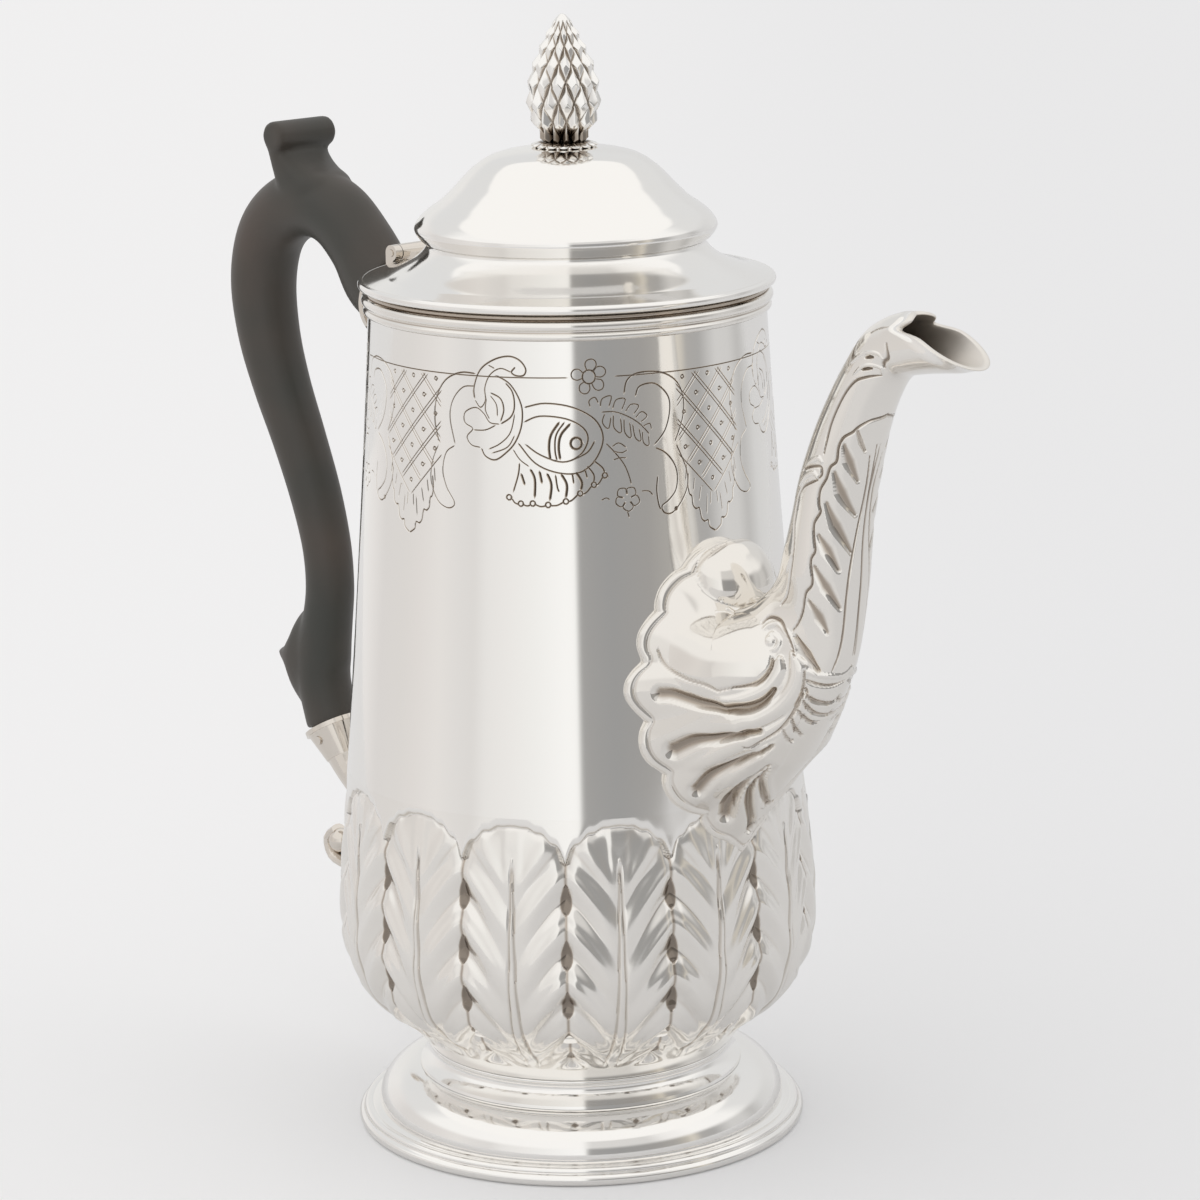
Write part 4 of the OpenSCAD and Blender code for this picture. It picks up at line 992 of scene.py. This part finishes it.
# %% Spout: hollows and lines
# A groove is (half width or a list of them, depth, darkness of tarnish and painted shade, places).
GROOVES = [
    [[0.5, 0.9, 1.2, 1.4, 1.5, 1.7, 1.8], 1.6, 0.6, [[396, -22], [380, -23], [364, -19], [338, -8],
     [272, 0], [203, 8], [156, 10]]],
    [[0.5, 0.9, 1.4, 2.0, 2.3], 1.8, 0.62, [[359, -38], [340, -30], [280, -26], [216, -22], [137, -22]]],
    [[0.4, 0.8, 1.2, 1.7, 2.0], 1.8, 0.62, [[356, -53], [330, -49], [266, -47], [198, -46], [121, -49]]],
    [[0.3, 0.8, 1.4, 1.9, 1.9], 1.8, 0.62, [[330, -63], [259, -64], [198, -67], [145, -70], [111, -73]]],
    [[0.3, 0.6, 0.8, 0.9, 0.9], 1.2, 0.6, [[303, -67], [243, -70], [203, -76], [140, -86], [92, -90]]],
    [[0.4, 0.7, 0.8, 0.9], 1.1, 0.5, [[319, -66], [280, -70], [243, -80], [201, -90]]],
    [0.5, 0.7, 0.5, [[427, -40], [430, -52], [435, -68], [443, -86]]],
    [0.55, 0.8, 0.5, [[420, -44], [414, -53], [414, -68], [417, -85], [425, -90]]],
    [0.55, 0.8, 0.5, [[409, -49], [404, -58], [401, -72], [401, -88], [406, -90]]],
    [0.55, 0.8, 0.5, [[398, -49], [393, -62], [391, -72], [393, -80]]],
    [0.55, 0.8, 0.5, [[388, -50], [380, -60], [375, -72]]],
    [0.5, 0.7, 0.4, [[375, -50], [369, -58], [367, -66]]],
    [0.45, 0.8, 0.45, [[435, -33], [417, -43], [396, -48], [375, -49], [356, -45], [330, -38]]],
    [0.8, 0.6, 0.4, [[763, -45], [728, -66]]],
    [[0.6, 1.5, 0.6], 0.45, 0.5, [[731, -31], [704, -46], [675, -65]]],
    [[0.6, 1.6, 0.6], 0.45, 0.5, [[681, -28], [654, -46], [620, -71]]],
    [[0.6, 1.6, 0.6], 0.45, 0.5, [[633, -27], [599, -46], [567, -70]]],
    [[0.6, 1.5, 0.6], 0.45, 0.5, [[580, -22], [565, -37], [546, -53]]],
    [[0.6, 1.6, 0.6], 0.45, 0.5, [[541, -20], [525, -38], [509, -58]]],
    [[0.6, 1.7, 0.6], 0.45, 0.5, [[501, -16], [493, -31], [483, -43]]],
    [[0.5, 1.3, 0.6], 1.0, 0.5, [[454, -8], [449, -26], [443, -46]]],
    [0.3, 0.35, 0.7, [[720, -76], [660, -82], [591, -77], [538, -68], [488, -65], [451, -61]]],
    [0.3, 0.3, 0.7, [[741, -86], [675, -89], [623, -90], [538, -90], [470, -88]]],
    [0.25, 0.2, 0.3, [[697, -90], [644, -90], [559, -90], [507, -90]]],
    [0.35, 0.5, 0.75, [[797, -90], [794, -86], [786, -62], [773, -46], [760, -38], [744, -26], [723, -23],
     [699, -26], [686, -19], [668, -18], [649, -13], [628, -16], [615, -20], [594, -13], [573, -16],
     [559, -19], [546, -14], [522, -19], [507, -11], [485, -8], [456, -2]]],
    [0.35, 0.45, 0.75, [[873, -40], [852, -20], [834, -5], [807, 2], [768, 4], [734, 1], [702, -3]]],
    [0.6, 0.6, 0.8, [[879, 3], [894, -5]]],
    [0.5, 0.6, 0.8, [[858, -6], [873, -19]]],
    [0.5, 0.5, 0.7, [[945, 10], [929, -15], [905, -24], [897, -32]]],
    [0.35, 0.5, 0.7, [[660, 33], [673, 16], [681, -3], [673, -9], [665, -7]]],
    [0.35, 0.5, 0.7, [[623, 27], [641, 19], [654, 5], [662, -6]]],
    [0.35, 0.4, 0.5, [[623, 27], [586, 27], [557, 19], [522, 16], [485, 19], [462, 26]]],
    [0.4, 0.6, 0.7, [[438, -19], [446, -3], [449, 16], [435, 30], [420, 32]]],
    [0.5, 0.7, 0.6, [[414, -2], [409, -7], [398, -9], [383, -8], [359, 0]]],
    [0.5, 0.5, 0.35, [[108, 34], [145, 27], [253, 16], [314, 10], [356, 1]]],
]
print(len(GROOVES), "grooves on each half")

# %% [markdown]
# How near a stroke is, is the distance to its nearest stretch, divided by its half width there. Only points
# in the box round the stroke are asked, which saves most of the time.

# %% Spout: near and far from a stroke
MIRROR = np.array([1, -1, 1])


def half_normals(p):
    """Unit normals of a half surface; past its first and last columns it goes on as its own mirror image."""
    wide = np.concatenate([p[:, 1:2] * MIRROR, p, p[:, -2:-1] * MIRROR], 1)
    n = np.cross(wide[:, 2:] - wide[:, :-2], np.gradient(p, axis=0))
    return n / np.maximum(np.linalg.norm(n, axis=2, keepdims=True), 1e-12)


def place_on(p, places):
    """Points of the grid p at places (thousandths of the rows, degrees), read between its points."""
    places = np.asarray(places, float)
    r = np.clip(places[:, 0] / 1000 * (len(p) - 1), 0, len(p) - 1.001)
    c = np.clip((places[:, 1] + 90) / 180 * (p.shape[1] - 1), 0, p.shape[1] - 1.001)
    i, j = r.astype(int), c.astype(int)
    r, c = (r - i)[:, None], (c - j)[:, None]
    return ((p[i, j] * (1 - r) + p[i + 1, j] * r) * (1 - c)
            + (p[i, j + 1] * (1 - r) + p[i + 1, j + 1] * r) * c)


def stroke(p, width, places, reach=1.0):
    """Distance of every grid point to a smooth stroke through the places, divided by the stroke's half
    width there: 0 on the stroke, 1 at its edge. The ends are tapered. The second result is how far along
    the stroke the nearest place is, 0 to 1."""
    count = 6 * (len(places) - 1) + 1
    line = place_on(p, curve_through(places, count))
    widths = np.interp(np.linspace(0, 1, count), np.linspace(0, 1, np.size(width)), np.atleast_1d(width))
    ends = np.minimum(np.arange(count), np.arange(count)[::-1]) / 5.0
    if np.size(width) == 1:
        widths = widths * (0.45 + 0.55 * np.minimum(ends, 1))
    wide = float(np.max(widths)) * reach
    low, high = line.min(0) - wide, line.max(0) + wide
    share, along = np.full(p.shape[:2], 9.0), np.zeros(p.shape[:2])
    near = np.all((p >= low) & (p <= high), axis=2)
    q = p[near]
    best, at = np.full(len(q), 9.0), np.zeros(len(q))
    for k in range(count - 1):
        step = line[k + 1] - line[k]
        t = np.clip((q - line[k]) @ step / max(step @ step, 1e-9), 0, 1)
        gap = np.linalg.norm(q - line[k] - t[:, None] * step, axis=1)
        gap /= widths[k] + (widths[k + 1] - widths[k]) * t
        nearer = gap < best
        best[nearer], at[nearer] = gap[nearer], (k + t[nearer]) / (count - 1)
    share[near], along[near] = best, at
    return share, along


reach = stroke(plain_half, RIDGES[0][0], RIDGES[0][2])[0]
print("the first rib covers", int((reach < 1).sum()), "points")

# %% [markdown]
# Now every point moves along its normal: up under a rib or a swelling, and down in a groove. The highest
# rib and the deepest groove win, so that strokes which cross don't pile up.

# %% Spout: raise and sink the surface
# the lip round the shell, the ribs broad enough to fade out, and how far a groove's soft edge reaches
LIP_HIGH, LIP_HALF, BROAD, SOFT = 1.1, 1.3, 1.15, 1.35


def chased(p):
    """The half spout with its ornament, and its tarnish with painted shade. Along the surface's normal,
    ridges rise as half circles and swellings as arches of their own power, and grooves sink as arches of the
    power
    1.6. d is the distance from a stroke or a swelling's middle, as a share of its half width or its length."""
    n = half_normals(p)
    up, down, dirt_and_shade = np.zeros((3, *p.shape[:2]))
    for width, height, places in RIDGES:
        d, along = stroke(p, width, places)
        if width > BROAD:
            height = height * (1 - 0.9 * step_up(along, 0.6, 1.0))
        up = np.maximum(up, height * arch(d))
    for length, width, height, power, place in SWELLS:
        centre = place_on(p, [place])[0]
        q = p - centre
        d = np.sqrt((q[..., 2] / width) ** 2 + (q[..., 0] ** 2 + q[..., 1] ** 2) / length ** 2)
        up = np.maximum(up, height * arch(d, power))
    for width, depth, dark, places in GROOVES:
        d = stroke(p, width, places, 1.6)[0]
        down = np.maximum(down, depth * arch(d / SOFT, 1.6))
        # painted shade with tarnish: a groove darkens towards its middle, which makes it read as deep
        dirt_and_shade = np.maximum(dirt_and_shade, dark * (1 - step_up(d, 0.1, 1.2)))
    # a rounded lip runs along the edge of the shell
    from_edge = np.linalg.norm(np.diff(p, axis=0), axis=2)
    from_edge = np.concatenate([np.zeros((1, p.shape[1])), np.cumsum(from_edge, 0)])
    lip = LIP_HIGH * arch(from_edge / LIP_HALF - 1)
    bed = 0.5 * step_up(from_edge, 0, LIP_HALF)
    up = np.maximum(np.maximum(up * step_up(from_edge, 0, 2.0), lip), bed)
    down = down * step_up(from_edge, 0.6, 2.4)
    row = np.arange(len(p))[:, None]
    film = 0.09 + 0.035 * (1 - step_up(row, SHELL_ROWS, SHELL_ROWS + 60))
    # painted shade: a dark line in the crease inside the lip, over a film of tarnish that is a little thicker
    # on the shell
    dirt_and_shade = np.maximum(np.maximum(dirt_and_shade, 0.25 * bell(from_edge - 2.8, 0.5)), film)
    # the last rows stay plain, so that the lip of the mouth keeps its edge
    keep = 1 - step_up(row, len(p) - 14, len(p) - 3)
    return p + n * ((up - down) * keep)[..., None], np.clip(dirt_and_shade * keep, 0, 1)


half, half_dark = chased(plain_half)
half[:, [0, -1], 1] = 0
print("the chasing moves the surface up to", round(float(np.abs(half - plain_half).max()), 2), "mm")

# %% [markdown]
# The two halves are one grid and its mirror image, whose faces are turned round so that they still look
# outwards. A third piece is the passage inside: it leaves the lip in a rounded edge and gets dull on its
# way down, and darker with painted shade, as if less and less light reached in.

# %% Spout: the two halves and the passage inside
PASSAGE_ROWS, SPOUT_WALL = 40, 1.5
normals = half_normals(half)
faces = grid_faces(*half.shape[:2], False)
for name, turn, f in (("spout_far_half", 1, faces), ("spout_near_half", MIRROR, faces[:, ::-1])):
    mesh = make_mesh(name, (half * turn).reshape(-1, 3), f, 180, half_dark, normals * turn)
    piece(name, mesh, "pot", silver, ["spout_left", "spout_right"])
path = curve_through(stations, PASSAGE_ROWS)
inner = spout_ring(path[::-1], SPOUT_WALL, side)
shift = half[-1] - spout_ring(path[-1:], 0, side)[0]
inner = inner + np.exp(-np.arange(PASSAGE_ROWS) / 2.2)[:, None, None] * shift
middle = (half[-1] + inner[0]) / 2
run = half[-1] - half[-4]
run /= np.linalg.norm(run, axis=1, keepdims=True)
lip_rows = np.stack([half[-1], half[-1] * .85 + inner[0] * .15 + run * .35, middle + run * .5,
                     half[-1] * .15 + inner[0] * .85 + run * .35])
passage = np.concatenate([lip_rows, inner])
passage[:, [0, -1], 1] = 0
whole = np.concatenate([passage, (passage * MIRROR)[:, -2:0:-1]], 1)
depth = np.linspace(0, 1, len(whole))[:, None] + np.zeros(whole.shape[:2])
# painted shade: the passage darkens on its way down, over a little tarnish
mesh = make_mesh("spout_inside", whole.reshape(-1, 3), grid_faces(*whole.shape[:2]), 180,
                 0.12 + 0.6 * step_up(depth, 0.03, 0.4), grid_normals(whole))
piece("spout_inside", mesh, "pot", dull_silver, ["spout_left", "spout_right"])
print("spout:", 2 * len(faces), "faces outside,", len(mesh.polygons), "inside")

# %% [markdown]
# ## The handle
# Wood keeps the heat of the coffee from the hand. The carver saws a flat S from a plank, leaves a roll on
# top for the thumb and a spur low down, and rounds the edges. Four bars overlap here in the same way.
# Remesh makes one skin of them and Smooth rounds the corners where they join, as rasp and scraper do.

# %% Handle: bars along a curve
def tube(stations, count, cols, power=1.0):
    """Bar in the plane y = 0. A station is (x, z, half thickness, half width); the section is
    centre + thickness c * normal + width q * y, with c and q the cosine and sine of w raised to a power
    with their signs kept. Power 1 is an ellipse and a lower power is squarer."""
    s = curve_through(stations, count)
    run = np.gradient(s[:, :2], axis=0)
    run /= np.linalg.norm(run, axis=1, keepdims=True)
    w = np.linspace(0, 2 * np.pi, cols, endpoint=False)
    c, q = np.cos(w)[None, :], np.sin(w)[None, :]
    c, q = np.sign(c) * np.abs(c) ** power, np.sign(q) * np.abs(q) ** power
    thick, wide = s[:, 2:3], s[:, 3:4]
    x = s[:, :1] - run[:, 1:2] * thick * c
    z = s[:, 1:2] + run[:, :1] * thick * c
    return np.stack([x, wide * q, z], -1)


def joined(parts):
    """Several (points, faces) shapes as one; faces may be one array or a list of arrays."""
    points, faces, start = [], {}, 0
    for p, f in parts:
        for g in ([f] if isinstance(f, np.ndarray) else f):
            faces.setdefault(g.shape[1], []).append(g + start)
        points.append(p)
        start += len(p)
    return np.vstack(points), [np.vstack(v) for v in faces.values()]


print("a short bar has", len(capped(tube([[0, 0, 4, 8], [0, 30, 4, 8]], 4, 8))[0]), "points")

# %% [markdown]
# The roll is a short round bar laid across the top of the thumb's neck, with rounded ends. The voxels of
# the remesh are 0.6 mm, which is finer than any edge that a rasp leaves.

# %% Handle
# a station is x, z, half thickness and half width
handle_line = [[-62.8, 202.2, 9.3, 7.9], [-64.8, 202.4, 9.7, 8.1], [-69.3, 205.6, 10.1, 8.4],
               [-75.1, 213.1, 9.0, 8.4], [-84, 220.4, 9, 8.4], [-94.5, 222.6, 9, 8.6],
               [-104.5, 219.2, 9, 8.7], [-111.6, 212, 9, 8.6], [-114.8, 200.5, 8.8, 8.5],
               [-113.4, 187, 8.3, 8.1], [-109, 174, 7.6, 7.6], [-102.5, 160, 7.1, 7.1],
               [-96.6, 146, 6.75, 6.8], [-92.8, 133, 6.4, 6.5], [-91.9, 122, 6.4, 6.4],
               [-93.2, 113, 6.7, 6.6], [-95.6, 103.5, 8.3, 6.9], [-95.4, 95.5, 7.3, 6.9],
               [-92.3, 84.6, 7.2, 6.8]]
thumb_neck = [[-88.0, 219.5, 9, 5], [-91.6, 223.8, 9.4, 8], [-95.0, 228, 6.8, 8.4], [-97.6, 232, 4.6, 8.6],
              [-99.3, 235.6, 3.4, 8.8], [-100.1, 238.4, 2.8, 9.1], [-100.0, 240.6, 2.2, 9.2]]
spur = [[-98.5, 101.2, 16, 6.6], [-103.0, 101.3, 11.5, 6.2], [-105.2, 101.4, 7.0, 5.6],
        [-107, 101.4, 3.9, 4.8], [-109, 101.4, 2.2, 3.8], [-110.8, 101.4, 1.2, 2.7],
        [-112.2, 101.4, 0.5, 1.5]]
# the middle of the thumb roll as x and z, its radius, half its length and the rounding of its ends
ROLL_AT, ROLL_R, ROLL_HALF, ROLL_ROUND = (-98.4, 240.0), 3.9, 9.6, 0.8
w = np.linspace(0, 2 * np.pi, 48, endpoint=False)
rounding = np.linspace(0, 1.57, 6)
end_y, end_r = ROLL_ROUND * (1 - np.cos(rounding)), ROLL_R - ROLL_ROUND + ROLL_ROUND * np.sin(rounding)
roll_y = np.concatenate([[-ROLL_HALF], end_y - ROLL_HALF, np.linspace(-8.2, 8.2, 10),
                         ROLL_HALF - end_y[::-1]])
roll_r = np.concatenate([end_r[:1], end_r, np.full(10, ROLL_R), end_r[::-1]])
roll = np.stack([ROLL_AT[0] + roll_r[:, None] * np.sin(w), roll_y[:, None] + 0 * w,
                 ROLL_AT[1] + roll_r[:, None] * np.cos(w)], -1)
shapes = [capped(tube(handle_line, 160, 48)), capped(tube(thumb_neck, 48, 64, 0.7)),
          capped(tube(spur, 48, 48)), capped(roll)]
mesh = make_mesh("wooden_handle", *joined(shapes))
handle = piece("wooden_handle", mesh, "pot", wood, ["handle"])
skin = handle.modifiers.new("skin", "REMESH")
skin.mode, skin.voxel_size, skin.use_smooth_shade = "VOXEL", 0.6 * MM, True
blend = handle.modifiers.new("blend", "SMOOTH")
blend.factor, blend.iterations = 0.5, 14
print("handle:", len(shapes), "bars,", len(mesh.polygons), "faces before the remesh")

# %% [markdown]
# ## Hinge, sockets and pins
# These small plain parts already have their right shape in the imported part, so they only get a material.
# Their silver is a little browner, because hands touch them and cloths don't reach between them.

# %% Parts shown as they were packed
shown = [name for name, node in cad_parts.items() if not node.hide_render]
for name in shown:
    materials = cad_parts[name].data.materials
    materials.clear()
    materials.append(worn)
print("shown as packed:", ", ".join(shown))

# %% [markdown]
# ## The floor
# The pot stands on pale paper. Two rectangles are enough, one under the pot and one far behind it. The
# near one is kept small, because silver mirrors whatever lies round it. The paper gets a little darker
# towards the right, a painted shade as if the light came more from the left, and glows faintly, so that it
# stays pale without more light on the pot.

# %% Floor
PALE = (0.84, 0.842, 0.85, 1)
FRONT, ACROSS = np.array([0.723, -0.691]), np.array([0.691, 0.723])
paper, tree, shader = principled("floor", {"Roughness": 0.7, "Specular IOR Level": 0.0,
                                           "Emission Color": (1, 1, 1, 1)})
place = add_node(tree, "TexCoord").outputs["Object"]


def along_floor(direction):
    """Metres from the pot along a direction on the floor."""
    dot = add_node(tree, "VectorMath", {0: place, 1: (*direction, 0)}, operation="DOT_PRODUCT")
    return dot.outputs["Value"]


# seen from 1 m in front, a place a metres to the front and b across has the bearing b / (1 - a)
away = add_node(tree, "Math", {0: 1.0, 1: along_floor(FRONT)}, operation="SUBTRACT").outputs[0]
bearing = add_node(tree, "Math", {0: along_floor(ACROSS), 1: away}, operation="DIVIDE").outputs[0]
# painted shade: the paper darkens towards the camera's right, as if the light came more from the left
shade = add_node(tree, "MapRange", {"Value": bearing, "From Min": -0.08, "From Max": 0.11},
                 interpolation_type="SMOOTHSTEP").outputs[0]
tone = add_node(tree, "Mix", data_type="RGBA")
fill(tree, tone, {0: shade, 6: (0.80, 0.80, 0.81, 1), 7: (0.735, 0.738, 0.752, 1)})
seen = add_node(tree, "LightPath").outputs["Is Camera Ray"]
glow = add_node(tree, "Math", {0: seen, 1: 0.115, 2: 0.022}, operation="MULTIPLY_ADD").outputs[0]
fill(tree, shader, {"Base Color": tone.outputs[2], "Emission Strength": glow})

corners = [a * FRONT + b * ACROSS for a, b in ((-5000, -4000), (-900, -4000), (-900, -420), (650, -420),
                                               (650, 700), (-900, 700), (-900, 4000), (-5000, 4000))]
mesh = make_mesh("floor", np.array([[x, y, 0] for x, y in corners]), np.array([[0, 1, 6, 7], [2, 3, 4, 5]]))
mesh.materials.append(paper)
obj = bpy.data.objects.new("floor", mesh)
bpy.context.scene.collection.objects.link(obj)
print("floor of", len(mesh.polygons), "sheets")

# %% [markdown]
# ## Light all round
# Silver shows the room it stands in. This studio is a ring of white screens with a dark gap on the right
# of the camera, and one large white screen overhead. Lamps and cards would do it too, but colours set by
# the angle from the camera's side are easier to place: each stop is one edge seen in the wall.

# %% Light: which way a ray looks
CAMERA_SIDE = math.radians(43.7)
world = bpy.data.worlds.new("studio")
bpy.context.scene.world = world
world.use_nodes = True
tree = world.node_tree
looks = add_node(tree, "Mapping", {"Vector": add_node(tree, "TexCoord").outputs["Generated"],
                                   "Rotation": (0, 0, CAMERA_SIDE)}, vector_type="VECTOR")
split = add_node(tree, "SeparateXYZ", {0: looks.outputs[0]})
angle = add_node(tree, "Math", {0: split.outputs["Y"], 1: split.outputs["X"]}, operation="ARCTAN2")
share = add_node(tree, "MapRange", {"Value": angle.outputs[0], "From Min": -math.pi, "From Max": math.pi})


def round_about(stops):
    """Colours round the pot; a stop is (degrees to the right of the camera's side, red, green, blue)."""
    return colour_ramp(tree, share.outputs[0], [(w / 360 + 0.5, *colour) for w, *colour in stops])


def mixed(factor, a, b):
    """Colour a where the factor is 0 and colour b where it is 1."""
    node = add_node(tree, "Mix", data_type="RGBA")
    fill(tree, node, {0: factor, 6: a, 7: b})
    return node.outputs[2]


def rise(low, high):
    """0 for directions lower than low, 1 for those higher than high (as the sine of the height)."""
    return add_node(tree, "MapRange", {"Value": split.outputs["Z"], "From Min": low, "From Max": high},
                    interpolation_type="SMOOTHSTEP").outputs[0]


print("directions turn by", round(math.degrees(CAMERA_SIDE), 1), "degrees to face the camera")

# %% [markdown]
# A screen is a stretch between two stops. The hard edge down the front of the wall is the one between
# white and dark just right of the camera's side.

# %% Light: the screens
screens = round_about([
    (-180, .80, .80, .79), (-150, .86, .85, .84), (-135, .82, .80, .79), (-120, .74, .72, .71),
    (-100, .75, .73, .715), (-88, .78, .755, .74), (-74, .82, .80, .785), (-62, .78, .765, .755),
    (-53, .76, .745, .735), (-46, .84, .83, .82), (-34, .88, .87, .86), (-20, .92, .92, .91),
    (-4, .99, .99, .985), (1.5, 1.0, 1.0, .99), (3.5, .37, .365, .36), (20, .34, .34, .34),
    (42, .36, .35, .34), (54, .42, .405, .385), (60, .52, .49, .44), (64, .70, .66, .59),
    (67, .60, .57, .52), (70, .43, .42, .41), (79, .42, .415, .41), (86, .56, .555, .55),
    (92, .66, .655, .65), (103, .65, .645, .64), (112, .53, .525, .52), (124, .68, .68, .68),
    (150, .74, .74, .74)])
overhead = round_about([
    (-180, .76, .765, .77), (-118, .78, .78, .78), (-100, .97, .965, .955), (0, 1.0, .99, .98),
    (5, .74, .73, .72), (40, .72, .71, .70), (50, .90, .89, .88), (70, 1.0, .99, .98),
    (100, .97, .965, .955), (118, .78, .78, .78), (180, .76, .765, .77)])
light = mixed(rise(0.25, 0.42), screens, overhead)
light = mixed(rise(0.65, 0.69), light, (1, .99, .975, 1))
seen = add_node(tree, "LightPath").outputs["Is Camera Ray"]
fill(tree, tree.nodes["Background"], {"Color": mixed(seen, light, PALE)})
print("the world has", len(tree.nodes), "nodes")

# %% [markdown]
# ## The camera
# The camera stands a little above the lid, one metre away, on the side between the spout and the front.
# Its three axes are worked out from how far it looks down, turns aside and rolls, and are written
# straight into its matrix.

# %% Camera
FRAME_PIXELS, FOCAL_PIXELS, SENSOR = 1200, 4169.0, 36
CAMERA_AT = (0.723, -0.691, 0.3623)
pitch, roll_angle, yaw = 0.22631, -0.01645, 0.00676


def turned(x, y, z):
    """A direction in the camera's level frame, turned into the part's frame."""
    x, y = math.cos(yaw) * x + math.sin(yaw) * y, -math.sin(yaw) * x + math.cos(yaw) * y
    return np.array([0.691 * x - 0.723 * y, 0.723 * x + 0.691 * y, z])


right, up = turned(1, 0, 0), turned(0, math.sin(pitch), math.cos(pitch))
ahead = turned(0, math.cos(pitch), -math.sin(pitch))
c, s = math.cos(roll_angle), math.sin(roll_angle)
right, up = c * right + s * up, c * up - s * right
camera_data = bpy.data.cameras.new("camera")
camera_data.sensor_width = SENSOR
camera_data.lens = SENSOR * FOCAL_PIXELS / FRAME_PIXELS
camera_data.clip_start, camera_data.clip_end = 0.01, 50
camera = bpy.data.objects.new("camera", camera_data)
bpy.context.scene.collection.objects.link(camera)
bpy.context.scene.camera = camera
axes = np.column_stack([right, up, -ahead, CAMERA_AT])
camera.matrix_world = Matrix(np.vstack([axes, [0, 0, 0, 1]]).tolist())
bpy.context.scene.view_settings.view_transform = "Standard"
print("camera with a lens of", round(camera_data.lens, 1), "mm")
